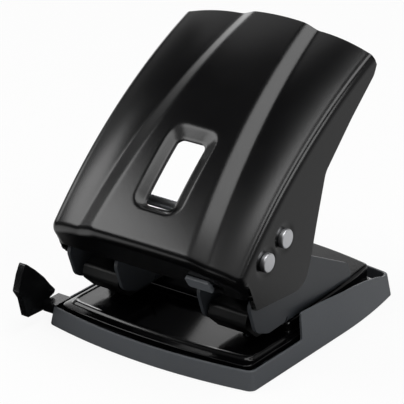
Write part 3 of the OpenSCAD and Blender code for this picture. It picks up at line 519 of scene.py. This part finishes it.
def lever_skin(half_window, recess_depth):
    """Skin of the lever as one grid: columns run from the left cheek's edge over the top to the right
    one's, rows from the rear end to the apron's foot. The recess sinks the skin in step with the way
    from its outline to the window's. The grid is snapped to the outlines of the window and the slot."""
    widths = graded((0, 17, 47, BEND_X, BEND_X + CHEEK_BEND * math.pi / 2), (20, 29, 8, 8))
    along = graded((0, 0.5, 0.93, 1, 2, 3), (51, 65, 8, 12, 14))
    width, rho = np.meshgrid(np.concatenate([-widths[:0:-1], widths]), along)
    side = np.where(width < 0, -1.0, 1.0)
    radius = LEVER_ARC + PANEL_H

    def arc_place(w, r, angle):
        """Way along the curve from an angle: the turn times the radius."""
        return (lever_turn(np.abs(w), r)[0] - angle) * radius

    def window_edge(w, v):
        """Distance to the window's outline."""
        return rounded_box(w, v, half_window, WINDOW_CORNER)

    def slot_edge(w, up):
        """Distance to the lock slot's outline."""
        return rounded_box(w - SLOT_X, up - SLOT_UP, SLOT_HALF, SLOT_CORNER)

    # the window, measured across and along the curve
    on_top = rho <= TOP_END
    turn, end = lever_turn(np.abs(width), np.zeros_like(rho))
    reach_along = (end - turn) * radius
    v = arc_place(width, rho, WINDOW_ANGLE)
    w2, v2, state = snapped(width, v, window_edge, SNAP_TOP)
    state = np.where(on_top, state, 1)
    moved = state == 0
    width = np.where(moved, w2, width)
    rho = np.where(moved, rho + (v2 - v) / reach_along, rho)

    # the lock slot, measured across and up the apron
    flat = np.minimum(np.abs(width), BEND_X)
    centre = fold_centre(crown(flat, 0.0))
    apron_l = (centre - (APRON_FOOT - FOLD_R * APRON_OUT)) @ APRON_UP
    up = (3 - rho) * apron_l
    w2, u2, slot_state = snapped(width, up, slot_edge, SNAP_APRON)
    on_apron = (rho >= 2) & (width > 0)
    slot_state = np.where(on_apron, slot_state, 1)
    moved = slot_state == 0
    width = np.where(moved, w2, width)
    rho = np.where(moved, np.clip(3 - u2 / apron_l, 2, 3), rho)
    state = np.minimum(state, slot_state)

    # the pressed recess: it falls from its own outline, with a rounded brim, to the window's outline
    inside = -rounded_box(width, arc_place(width, rho, RECESS_ANGLE), RECESS_HALF, RECESS_CORNER)
    beyond = window_edge(width, arc_place(width, rho, WINDOW_ANGLE)) - RECESS_LEDGE
    t = np.clip(inside / np.maximum(inside + np.maximum(beyond, 0), 0.1), 0, 1)
    e = RECESS_ROUNDING
    fall = np.where(t < e, t * t / (2 * e), t - e / 2) / (1 - e / 2)
    sunk = np.where(rho < 1, recess_depth * fall, 0.0)
    top = skin(np.abs(width), rho, sunk)
    top[..., 0] *= side

    # the cheeks, ruled from the bend down to their cut outline, with a dimple round each rod
    outline = rounded_corners(CHEEK_CORNERS, 14)
    travelled = np.concatenate([[0], np.cumsum(np.hypot(*np.diff(outline, axis=0).T))])
    keys = [travelled[np.argmin(np.hypot(*(outline - CHEEK_CORNERS[k][:2]).T))] for k in CHEEK_KEYS]
    place = np.interp(along, list(CHEEK_KEYS.values()), keys)
    edge = np.column_stack([np.interp(place, travelled, outline[:, k]) for k in (0, 1)])
    share = np.linspace(0, 1, 49)[1:]
    start = top[:, -1, 1:]
    yz = start[:, None] + (edge - start)[:, None] * share[None, :, None]
    r = np.minimum(np.hypot(*np.moveaxis(yz - PIVOT, -1, 0)), np.hypot(*np.moveaxis(yz - DRIVE, -1, 0)))
    t = np.clip((DIMPLE_OUT - r) / (DIMPLE_OUT - DIMPLE_IN), 0, 1)
    x = LEVER_HALF - DIMPLE_DEPTH * t * t * (3 - 2 * t)
    right = np.concatenate([x[..., None], yz], -1)
    left = right[:, ::-1] * [-1, 1, 1]
    grid = np.concatenate([left, top, right], 1)
    pad = ((0, 0), (len(share), len(share)))
    state = np.pad(state, pad, constant_values=1)

    # middles of the cells, to find those whose corners all lie on an outline
    grids = (np.pad(width, pad, constant_values=FAR), np.pad(rho, pad, "edge"))
    mid_w, mid_r = [(g[:-1, :-1] + g[1:, :-1] + g[:-1, 1:] + g[1:, 1:]) / 4 for g in grids]
    in_window = window_edge(mid_w, arc_place(mid_w, mid_r, WINDOW_ANGLE)) < 0
    in_slot = slot_edge(mid_w, (3 - mid_r) * np.mean(apron_l)) < 0
    inside_middle = (in_window & (mid_r < TOP_END)) | (in_slot & (mid_r > 2))
    quads, triangles = grid_faces(state, inside_middle)

    # the points that no face uses are left out
    used = np.zeros(state.size, bool)
    used[quads] = True
    used[triangles] = True
    index = np.cumsum(used) - 1
    return grid.reshape(-1, 3)[used], index[quads].tolist() + index[triangles].tolist()


# Materials

def add(tree, kind, settings=(), links=()):
    """Adds a shader node, sets its properties or sockets by name and links its inputs."""
    node = tree.nodes.new("ShaderNode" + kind)
    for name, value in dict(settings).items():
        if isinstance(name, str) and hasattr(node, name):
            setattr(node, name, value)
        else:
            node.inputs[name].default_value = value
    for name, source in dict(links).items():
        tree.links.new(node.inputs[name], source)
    return node


def blank(owner):
    """The emptied node tree of a material or a world."""
    owner.use_nodes = True
    owner.node_tree.nodes.clear()
    return owner.node_tree


def patch(tree, place, *ramps):
    """Brightness of a stretch of the surroundings: the product of smooth ramps, each given as (axis,
    start, end, value at the start, value at the end)."""
    bright = None
    for axis, start, end, low, high in ramps:
        limits = {"From Min": start, "From Max": end, "To Min": low, "To Max": high}
        limits["interpolation_type"] = "SMOOTHSTEP"
        part = add(tree, "MapRange", limits, {"Value": place[axis]}).outputs["Result"]
        if bright is not None:
            part = add(tree, "Math", {"operation": "MULTIPLY"}, {0: bright, 1: part}).outputs[0]
        bright = part
    return bright


CLOUD = 38.0


def finish(name, base, roughness, pattern, metallic=0.0, bump=0.0, spread=0.06, shade=0.06):
    """Principled material whose bump follows a pattern, and whose colour and roughness vary a little
    with soft clouds. pattern(tree, place) returns an output from 0 to 1."""
    material = bpy.data.materials.new(name)
    tree = blank(material)
    place = add(tree, "TexCoord").outputs["Object"]
    grain = pattern(tree, place)
    cloud = fine_noise(CLOUD, 3.0)(tree, place)
    dark, light = [[c * (1 + sign * shade) for c in base] + [1] for sign in SIDES]
    tone = add(tree, "Mix", {"data_type": "RGBA", 6: dark, 7: light}, {0: cloud}).outputs[2]
    limits = {"From Min": 0.25, "From Max": 0.75, "To Min": roughness - spread, "To Max": roughness + spread}
    rough = add(tree, "MapRange", limits, {"Value": cloud}).outputs["Result"]
    bumped = add(tree, "Bump", {"Distance": bump * MM}, {"Height": grain}).outputs["Normal"]
    shader = add(tree, "BsdfPrincipled", {"Metallic": metallic},
                 {"Base Color": tone, "Roughness": rough, "Normal": bumped})
    add(tree, "OutputMaterial", (), {"Surface": shader.outputs["BSDF"]})
    return material


def fine_noise(size, detail=2.0):
    """Pattern of soft bumps, size millimetres across."""
    settings = {"Scale": 1 / (size * MM), "Detail": detail}
    return lambda tree, place: add(tree, "TexNoise", settings, {"Vector": place}).outputs["Fac"]


def spark_grain(tree, place):
    """Pattern of the eroded mould face: small cells of the grain size that the user set."""
    settings = {"feature": "SMOOTH_F1", "Scale": 1 / bpy.context.scene.punch_sizes.grain, "Smoothness": 0.6}
    return add(tree, "TexVoronoi", settings, {"Vector": place}).outputs["Distance"]


def turning_marks(pitch):
    """Pattern of the fine rings a lathe or a grinding wheel leaves, pitch millimetres apart up the
    object. A wave of scale 1 repeats every 0.314 metres."""
    settings = {"bands_direction": "Z", "Scale": 0.314 / (pitch * MM), "Distortion": 2.0, "Detail": 2.0}
    return lambda tree, place: add(tree, "TexWave", settings, {"Vector": place}).outputs["Fac"]


def material(name):
    """The finish of that name, made once. Its colour is a hex value or the name of a setting."""
    found = bpy.data.materials.get(name)
    if found:
        return found
    tone, roughness, pattern, more = FINISHES[name]
    base = linear(tone) if tone.startswith("#") else getattr(bpy.context.scene.punch_colours, tone)
    return finish(name, base, roughness, pattern, **more)


# Colour, roughness, pattern, and what else differs from the plain finish; bumps in millimetres
FINISHES = {
    # Stove enamel sprayed thin on pressed steel: satin, with the faint orange peel of the spray
    "satin_black_enamel": ("lever", 0.24, fine_noise(2.2), {"bump": 0.012, "spread": 0.03}),
    # Thick polished enamel on pressed steel: mirrors its surroundings, almost no texture
    "gloss_black_enamel": ("plate", 0.14, fine_noise(6.0), {"bump": 0.006, "spread": 0.02}),
    # Powder coating on bent steel: fine even orange peel, a little greyer than the enamel
    "grey_powder_coating": ("bracket", 0.36, fine_noise(1.1), {"bump": 0.02}),
    # ABS injection-moulded in an eroded mould: dull, with a grain drawn a little coarse to show
    "grained_dark_plastic": ("tray", 0.52, spark_grain, {"bump": 0.05, "spread": 0.05, "shade": 0.04}),
    # Plastic from a polished mould: smooth, half gloss, faint flow marks
    "smooth_black_plastic": ("guide", 0.26, fine_noise(7.0), {"bump": 0.01}),
    # The same from a duller mould: even, with hardly a highlight
    "smooth_grey_plastic": ("slider", 0.4, fine_noise(2.0), {"bump": 0.015}),
    # Steel browned in a hot bath: dark, slightly metallic, with a fine even tooth
    "browned_steel": ("#090a0b", 0.42, fine_noise(0.8), {"metallic": 0.1, "bump": 0.01}),
    # Turned steel with a bright zinc plate: pale, with fine rings from the lathe
    "zinc_plated_steel": (
        "steel", 0.4, turning_marks(0.6), {"metallic": 1.0, "bump": 0.006, "spread": 0.08}),
    # Hardened and ground tool steel: bright, with marks round the shank
    "ground_tool_steel": ("#b4b6b9", 0.22, turning_marks(0.5), {"metallic": 1.0, "bump": 0.004}),
    # Drawn spring wire with a film of oil
    "drawn_spring_wire": ("#8a8c90", 0.28, fine_noise(1.0), {"metallic": 1.0, "bump": 0.006}),
    # Sawn sheet rubber: matt, with a coarse open grain
    "matt_black_rubber": ("#1b1b1c", 0.85, fine_noise(0.7, 4.0), {"bump": 0.08}),
}


# One operator for each piece or group of like pieces

class PUNCH_OT_tray(Operator):
    """Moulded tray with its low front wall, step, high side walls, rails, posts and hinge lugs"""
    bl_idname = "desk_punch.tray"
    bl_label = "Tray"

    def execute(self, context):
        plastic = material("grained_dark_plastic")
        half, low = TRAY_HIGH[0], TRAY_LOW[2]
        shares = np.unique(np.round(np.concatenate([
            np.linspace(0.02, 0.98, 44), np.linspace(0.29, 0.36, 24)]), 5))
        outline, inward = plan(half, TRAY_LOW[1], TRAY_BOW, TRAY_HIGH[1], TRAY_REAR_BOW, TRAY_CORNER, shares)
        top = np.interp(outline[:, 1], WALL_TOP[:, 0], WALL_TOP[:, 1])
        at = partial(ring, outline, inward)
        rim, foot = TRAY_RIM, TRAY_FOOT
        rings = [at(foot + low * TRAY_LEAN, low), at(foot * 0.3 + low * TRAY_LEAN, low + foot * 0.3),
                 at((low + foot) * TRAY_LEAN, low + foot)]
        for share in np.linspace(0.12, 1, 9):
            z = low + foot + (top - rim - low - foot) * share
            rings.append(at(z * TRAY_LEAN, z))
        # the rim's outer rounding, then its inner one, each a quarter circle
        wall = TRAY_WALL + top * TRAY_INNER_LEAN
        for face, sign, degrees in ((top * TRAY_LEAN, 1, (30, 60, 90)), (wall, -1, (90, 60, 30, 0))):
            for a in np.radians(degrees):
                rings.append(at(face + sign * rim * (1 - math.cos(a)), top - rim * (1 - math.sin(a))))
        for share in np.linspace(1, 0, 7)[1:]:
            z = TRAY_FLOOR_Z + (top - rim - TRAY_FLOOR_Z) * share
            rings.append(at(TRAY_WALL + z * TRAY_INNER_LEAN, z))
        tray = make("tray_moulding", loft(rings), plastic, "tray", ("tray",))
        near, far = GUIDE_Y - GUIDE_HALF - GUIDE_GAP, GUIDE_Y + GUIDE_HALF + GUIDE_GAP
        sill = GUIDE_Z - GUIDE_GAP
        notch = [(near, sill), (far, sill), (far, NOTCH_TOP), (near, NOTCH_TOP)]
        cut(tray, prism(notch, -half - NOTCH_OUT, -half + NOTCH_IN))
        rounded(tray, 0.25 * MM, 48)

        floor = TRAY_FLOOR_Z - 0.2
        rail_z, rail_x = GUIDE_Z + RAIL_RISE, half - RAIL_IN
        rails = []
        for y in (GUIDE_Y - GUIDE_HALF - RAIL_AWAY, GUIDE_Y + GUIDE_HALF + RAIL_AWAY):
            near, far = y - RAIL_HALF, y + RAIL_HALF
            rail = [(near, floor), (far, floor), (far, rail_z), (near, rail_z)]
            rails.append(prism(rail, -rail_x, rail_x - RAIL_IN))
        lug = [*((HINGE[0] + y, floor) for y in LUG_FOOT), *(HINGE + LUG_TOP).tolist()]
        lug_x = HINGE_TAB_X + HINGE_TAB_T + HINGE_GAP
        posts, lugs = [], []
        for s in SIDES:
            post = [(floor, POST_RADIUS), (FIELD_Z - POST_UNDER, POST_RADIUS)]
            posts.append(turned(post, (s * (half - POST_IN), PUNCH_Y - POST_AHEAD, 0), "Z", 32))
            lugs.append(prism(lug, *sorted((s * lug_x, s * (lug_x + HINGE_TAB_T)))))
        fittings = both(*rails, *posts, *lugs)
        rounded(make("tray_rails_and_lugs", fittings, plastic, "tray"), 0.3 * MM)
        return {"FINISHED"}


class PUNCH_OT_mat(Operator):
    """Rubber mat under the tray"""
    bl_idname = "desk_punch.mat"
    bl_label = "Rubber mat"

    def execute(self, context):
        dressed("anti_slip_mat", "rubber_mat", material("matt_black_rubber"), "tray", 0.2 * MM)
        return {"FINISHED"}


class PUNCH_OT_base_plate(Operator):
    """Pressed base plate: rim, flange, bead, flat field, paper stop and platform in one sheet"""
    bl_idname = "desk_punch.base_plate"
    bl_label = "Base plate"

    def execute(self, context):
        size = context.scene.punch_sizes
        enamel = material("gloss_black_enamel")
        shares = np.linspace(0.015, 0.985, 40)
        bead = size.bead / MM
        front, rear = PLATE_LOW[1], PLATE_HIGH[1]
        outline, inward = plan(PLATE_HALF, front, PLATE_BOW, rear + PLATE_REAR_EXTRA, PLATFORM_REAR_BOW,
                               PLATE_CORNER, shares)
        stand, stand_in = plan(PLATFORM_HALF, STOP_Y, 0.0, rear, PLATFORM_REAR_BOW, PLATFORM_CORNER, shares)
        rim = np.interp(outline[:, 1], (44, 54), (RIM_Z, REAR_RIM_Z))
        at_rear = inward[:, 1:] < -0.5
        inward = inward * np.where(at_rear, (SHARE_AT_SIDES, SHARE_AT_REAR), (SHARE_AT_SIDES, 1))
        at = partial(ring, outline, inward)
        crest = FIELD_Z + bead
        rings = [at(0.0, rim)]
        for inset, drop in RIM_EDGE:
            rings.append(at(inset, FLANGE_Z - drop))
        # the bead: both of its slopes are smooth steps, 3 t squared less 2 t cubed
        for t in np.linspace(0, 1, 9):
            z = FLANGE_Z + (crest - FLANGE_Z) * t * t * (3 - 2 * t)
            rings.append(at(FLANGE + BEAD_OUTER * t, z))
        for t in (0.25, 0.5, 0.75, 1):
            inset = FLANGE + BEAD_OUTER + BEAD_INNER * t
            rings.append(at(inset, crest - bead * t * t * (3 - 2 * t)))
        # the hollow at the platform's foot, its wall and its rounded edge
        for inset, rise in PLATFORM_FOOT:
            rings.append(ring(stand, stand_in, inset, FIELD_Z + rise))
        edge = PLATFORM_EDGE - REAR_EDGE_LESS * np.clip(-stand_in[:, 1], 0, 1)
        for a in np.radians((0, 18, 36, 54, 72, 90)):
            moved = ring(stand, stand_in, edge * (1 - math.cos(a)), 0.0)
            moved[:, 2] = PLATFORM_Z + PLATFORM_SLOPE * (moved[:, 1] - STOP_Y) - edge * (1 - math.sin(a))
            rings.append(moved)
        pressing = loft(rings, low_cap=False)
        plate = make("base_plate_pressing", pressing, enamel, "base", ("base_plate",))
        thickened(plate, size.plate_sheet)
        hole = [(RIM_Z - 3, HOLE_RADIUS), (FIELD_Z + 2, HOLE_RADIUS)]
        cut(plate, both(*(turned(hole, (s * PUNCH_X, PUNCH_Y, 0), "Z", 48) for s in SIDES)))
        rounded(plate, size.sheet_edge, 50)

        ceiling = PLATFORM_Z + PLATFORM_SLOPE * (HINGE[0] - STOP_Y) - TAB_SUNK
        first, last = HINGE[0] + TAB_ROOT
        tab = [(first, ceiling), *(HINGE + TAB_FOOT).tolist(), (last, ceiling)]
        tabs = [prism(tab, *sorted((s * HINGE_TAB_X, s * (HINGE_TAB_X + HINGE_TAB_T)))) for s in SIDES]
        rounded(make("hinge_tabs", both(*tabs), enamel, "base"), 0.3 * MM)
        return {"FINISHED"}


class PUNCH_OT_brackets(Operator):
    """Left and right bracket, bent from steel sheet"""
    bl_idname = "desk_punch.brackets"
    bl_label = "Brackets"

    def execute(self, context):
        coating, edge = material("grey_powder_coating"), context.scene.punch_sizes.sheet_edge
        for name in SIDE_NAMES.values():
            dressed(f"bracket_{name}", f"bracket_sheet_{name}", coating, "base", edge)
        return {"FINISHED"}


class PUNCH_OT_punch_guides(Operator):
    """Punch guides, their dies and the rivets that hold them"""
    bl_idname = "desk_punch.punch_guides"
    bl_label = "Punch guides, dies and rivets"

    def execute(self, context):
        browned, ground = material("browned_steel"), material("ground_tool_steel")
        edge = context.scene.punch_sizes.moulded_edge
        for name in SIDE_NAMES.values():
            dressed(f"punch_guide_{name}", f"guide_block_{name}", browned, "base", edge)
            dressed(f"die_{name}", f"die_ring_{name}", ground, "base", 0.2 * MM)
        dressed("guide_rivets", "rivet_set", material("zinc_plated_steel"), "base", 0.3 * MM)
        return {"FINISHED"}


class PUNCH_OT_rods(Operator):
    """Pivot rod and drive rod with their heads, and the hinge pins"""
    bl_idname = "desk_punch.rods"
    bl_label = "Rods, caps and pins"

    def execute(self, context):
        steel = material("zinc_plated_steel")
        for rod, body, place in (("pivot", "base", PIVOT), ("drive", "lever", DRIVE)):
            low, high = span(f"{rod}_cap")
            inner, outer, radius = low[0] - DIMPLE_DEPTH, high[0], (high[1] - low[1]) / 2
            edge = [(outer - a, radius - b) for a, b in HEAD_EDGE]
            face = [(outer, CENTRE_RADIUS), *edge, (inner, radius)]
            cap = turned([(inner, CENTRE_RADIUS), (inner, ROD_RADIUS), *face[::-1]], (0, *place), "X")
            shaft = [(-inner, ROD_RADIUS), ((inner + outer) / 2 - 1, ROD_RADIUS)]
            whole = turned([*((-a, r) for a, r in face), *shaft], (0, *place), "X")
            for geometry, piece in ((cap, "cap"), (whole, "rod")):
                obj = make(f"{rod}_{piece}_turned", geometry, steel, body, (f"{rod}_{piece}",))
                rounded(obj, 0.15 * MM, 40)
        dressed("hinge_pins", "hinge_pin_pair", steel, "tray", 0.3 * MM)
        return {"FINISHED"}


class PUNCH_OT_punches(Operator):
    """Punches with their collars"""
    bl_idname = "desk_punch.punches"
    bl_label = "Punches and collars"

    def execute(self, context):
        ground = material("ground_tool_steel")
        for name in SIDE_NAMES.values():
            body = f"punch_{name}"
            dressed(body, f"punch_shank_{name}", ground, body, 0.15 * MM)
            dressed(f"punch_collar_{name}", f"collar_ring_{name}", ground, body, 0.25 * MM)
        return {"FINISHED"}


class PUNCH_OT_springs(Operator):
    """Return springs: round wire along a helix whose end curls lie flat"""
    bl_idname = "desk_punch.springs"
    bl_label = "Return springs"

    def execute(self, context):
        wire = material("drawn_spring_wire")
        turns = SPRING_CURLS + 2 * END_CURL
        lift = WIRE_D + 0.45
        t = np.linspace(0, turns, int(turns * SPRING_STEPS) + 1)
        a = 2 * math.pi * t
        out = np.column_stack([np.cos(a), np.sin(a), np.zeros_like(a)])
        # once round the wire, so that its faces look outwards
        b = -np.arange(WIRE_FACETS)[None, :, None] * 2 * math.pi / WIRE_FACETS
        section = WIRE_D / 2 * (np.cos(b) * out[:, None] + np.sin(b) * np.array([0, 0, 1.0]))
        for side, name in SIDE_NAMES.items():
            low, high = span(f"return_spring_{name}")
            start, end = low[2] + WIRE_D / 2, high[2] - WIRE_D / 2
            z = np.interp(t, (0, END_CURL, turns - END_CURL, turns), (start, start + lift, end - lift, end))
            axis = np.column_stack([np.full_like(a, side * PUNCH_X), np.full_like(a, PUNCH_Y), z])
            path = out * SPRING_D / 2 + axis
            make(f"spring_wire_{name}", loft(list(path[:, None] + section)), wire, "base",
                 (f"return_spring_{name}",))
        return {"FINISHED"}


class PUNCH_OT_lever(Operator):
    """Pressed lever: domed panel, slanted bands, recess with its window, fold, apron and cheeks"""
    bl_idname = "desk_punch.lever"
    bl_label = "Lever"

    def execute(self, context):
        size = context.scene.punch_sizes
        half_window = (size.window_width / MM / 2, size.window_length / MM / 2)
        shape, enamel = lever_skin(half_window, size.recess_depth / MM), material("satin_black_enamel")
        lever = make("lever_pressing", shape, enamel, "lever", ("lever",))
        thickened(lever, size.lever_sheet)
        rounded(lever, size.sheet_edge, 50)
        return {"FINISHED"}


class PUNCH_OT_lock(Operator):
    """Lock slider on the apron and the plate behind it"""
    bl_idname = "desk_punch.lock"
    bl_label = "Lock"

    def execute(self, context):
        grey, edge = material("smooth_grey_plastic"), context.scene.punch_sizes.moulded_edge
        dressed("lock_slider", "lock_knob", grey, "lock", edge)
        dressed("lock_plate", "lock_backing", material("zinc_plated_steel"), "lock", 0.2 * MM)
        return {"FINISHED"}


class PUNCH_OT_paper_guide(Operator):
    """Sliding strip with the upright fin that stops the paper"""
    bl_idname = "desk_punch.paper_guide"
    bl_label = "Paper guide"

    def execute(self, context):
        black, edge = material("smooth_black_plastic"), context.scene.punch_sizes.moulded_edge
        dressed("paper_guide", "guide_strip_and_fin", black, "paper_guide", edge)
        return {"FINISHED"}


class PUNCH_OT_stage(Operator):
    """Pale floor, soft lamps, white surroundings and the camera at the photograph's angle"""
    bl_idname = "desk_punch.stage"
    bl_label = "Stage"

    def execute(self, context):
        scene = context.scene
        scene.view_settings.view_transform = "Standard"
        mesh = bpy.data.meshes.new("floor")
        reach = 6.0
        corners = [(-reach, -reach, 0), (reach, -reach, 0), (reach, reach, 0), (-reach, reach, 0)]
        mesh.from_pydata(corners, [], [(0, 1, 2, 3)])
        floor = bpy.data.objects.new("floor", mesh)
        scene.collection.objects.link(floor)
        floor.data.materials.append(self.floor_material(scene.punch_colours.floor))
        self.world(scene)
        self.lamps(scene)
        self.camera(scene)
        return {"FINISHED"}

    def floor_material(self, tone):
        """Matt paper floor. Seen by the camera it is mostly white by itself, and the rest of its tone
        is lit, so that it keeps the shadow. In reflections it is half as bright behind the punch, white
        on its left, and black in front, where the photograph's own surroundings were dark."""
        floor = bpy.data.materials.new("white_paper_floor")
        tree = blank(floor)
        fibre = fine_noise(3.0)(tree, add(tree, "TexCoord").outputs["Object"])
        bumped = add(tree, "Bump", {"Distance": 0.02 * MM}, {"Height": fibre}).outputs["Normal"]
        lit = add(tree, "BsdfDiffuse", {"Color": (*tone, 1)}, {"Normal": bumped}).outputs["BSDF"]
        rays = add(tree, "LightPath").outputs
        camera, clear, glossy = [rays[f"Is {kind} Ray"] for kind in ("Camera", "Transmission", "Glossy")]
        larger, times = {"operation": "MAXIMUM"}, {"operation": "MULTIPLY"}
        seen = add(tree, "Math", larger, {0: camera, 1: clear}).outputs[0]
        place = add(tree, "SeparateXYZ", (), {0: add(tree, "TexCoord").outputs["Object"]}).outputs
        behind = patch(tree, place, ("Y", -0.04, 0.06, 0, 0.5))
        beside = patch(tree, place, ("X", -0.085, -0.14, 0, 1.1))
        bright = add(tree, "Math", larger, {0: behind, 1: beside}).outputs[0]
        mirrored = add(tree, "Math", times, {0: glossy, 1: bright}).outputs[0]
        own = add(tree, "Math", {**times, 1: 0.9}, {0: seen}).outputs[0]
        share = add(tree, "Math", larger, {0: own, 1: glossy}).outputs[0]
        strength = add(tree, "Math", larger, {0: seen, 1: mirrored}).outputs[0]
        white = add(tree, "Emission", {"Color": (1, 1, 1, 1)}, {"Strength": strength}).outputs[0]
        mixed = add(tree, "MixShader", (), {0: share, 1: lit, 2: white}).outputs["Shader"]
        add(tree, "OutputMaterial", (), {"Surface": mixed})
        return floor

    def world(self, scene):
        """White for the camera. In reflections it is dark but for three patches: a pale wall behind, a
        bright low screen behind on the left, and a soft glow high in front. It lights the object at a
        plain low level."""
        scene.world = bpy.data.worlds.new("studio")
        tree = blank(scene.world)
        rays = add(tree, "LightPath").outputs
        way = add(tree, "SeparateXYZ", (), {0: add(tree, "TexCoord").outputs["Generated"]}).outputs
        wall = patch(tree, way, ("Z", 0.46, 0.66, 0.28, 0.0), ("Y", -0.25, 0.05, 0, 1))
        low_screen = patch(
            tree, way, ("Z", 0.405, 0.44, 2.4, 0.0), ("Y", 0.3, 0.6, 0, 1), ("X", -0.2, -0.4, 0, 1))
        front_glow = patch(tree, way, ("Y", -0.3, -0.6, 0.0, 0.6), ("Z", 0.5, 0.65, 0, 1))
        swept = wall
        for glow in (low_screen, front_glow):
            swept = add(tree, "Math", {"operation": "ADD"}, {0: swept, 1: glow}).outputs[0]
        mirrored = add(tree, "Mix", {2: 0.15}, {0: rays["Is Glossy Ray"], 3: swept}).outputs[0]
        strength = add(tree, "Mix", {3: 1.0}, {0: rays["Is Camera Ray"], 2: mirrored}).outputs[0]
        clear = add(tree, "Mix", {3: 1.0}, {0: rays["Is Transmission Ray"], 2: strength}).outputs[0]
        background = add(tree, "Background", {"Color": (1, 1, 1, 1)}, {"Strength": clear})
        add(tree, "OutputWorld", (), {"Surface": background.outputs["Background"]})

    def lamps(self, scene):
        """Soft boxes: one in front on the left, a long one overhead, a weak wide one behind on the left,
        and one on the right."""
        aim = Vector((0, 0, 0.08))
        for name, place, size, power in (
                ("soft_box_left", (-1.14, -0.7, 1.0), (1.15, 0.6), 8.2),
                ("soft_box_top", (0.16, 0.0, 1.55), (1.8, 0.68), 13.5),
                ("soft_box_rear", (-0.6, 0.85, 1.2), (1.2, 0.7), 1.5),
                ("soft_box_right", (1.1, -0.05, 1.05), (0.8, 0.5), 5.0)):
            lamp = bpy.data.lights.new(name, "AREA")
            lamp.shape = "RECTANGLE"
            lamp.size, lamp.size_y = size
            lamp.energy = power
            obj = bpy.data.objects.new(name, lamp)
            obj.location = place
            obj.rotation_euler = (aim - Vector(place)).to_track_quat("-Z", "Y").to_euler()
            scene.collection.objects.link(obj)

    def camera(self, scene):
        """Long lens at the photograph's place, looking along its azimuth and elevation."""
        data = bpy.data.cameras.new("camera")
        data.sensor_width = SENSOR
        data.lens = SENSOR * CAMERA_FOCAL_PIXELS / FRAME_PIXELS
        a, e = CAMERA_AZIMUTH, CAMERA_ELEVATION
        back = Vector((math.sin(a) * math.cos(e), -math.cos(a) * math.cos(e), math.sin(e)))
        right = Vector((math.cos(a), math.sin(a), 0))
        camera = bpy.data.objects.new("camera", data)
        turn = Matrix((right, back.cross(right), back)).transposed().to_4x4()
        camera.matrix_world = Matrix.Translation(CAMERA_PLACE) @ turn
        scene.collection.objects.link(camera)
        scene.camera = camera


PIECES = (PUNCH_OT_tray, PUNCH_OT_mat, PUNCH_OT_base_plate, PUNCH_OT_brackets, PUNCH_OT_punch_guides,
          PUNCH_OT_rods, PUNCH_OT_punches, PUNCH_OT_springs, PUNCH_OT_lever, PUNCH_OT_lock,
          PUNCH_OT_paper_guide, PUNCH_OT_stage)


class PUNCH_PT_sidebar(Panel):
    """Lists the sizes, the colours and the operators"""
    bl_label = "Desk Punch"
    bl_idname = "PUNCH_PT_sidebar"
    bl_space_type = "VIEW_3D"
    bl_region_type = "UI"
    bl_category = "Punch"

    def draw(self, context):
        for group in (context.scene.punch_sizes, context.scene.punch_colours):
            column = self.layout.column()
            for name in group.__annotations__:
                column.prop(group, name)
        for operator in PIECES:
            self.layout.operator(operator.bl_idname)


CLASSES = (PunchSizes, PunchColours, *PIECES, PUNCH_PT_sidebar)


def register():
    """Makes the classes and the two groups of settings known to Blender."""
    for cls in CLASSES:
        bpy.utils.register_class(cls)
    bpy.types.Scene.punch_sizes = PointerProperty(type=PunchSizes)
    bpy.types.Scene.punch_colours = PointerProperty(type=PunchColours)


def unregister():
    """Takes them away again."""
    del bpy.types.Scene.punch_colours
    del bpy.types.Scene.punch_sizes
    for cls in reversed(CLASSES):
        bpy.utils.unregister_class(cls)


def main():
    """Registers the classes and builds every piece."""
    register()
    for operator in PIECES:
        getattr(bpy.ops.desk_punch, operator.bl_idname.split(".")[1])()


if __name__ == "__main__":
    main()
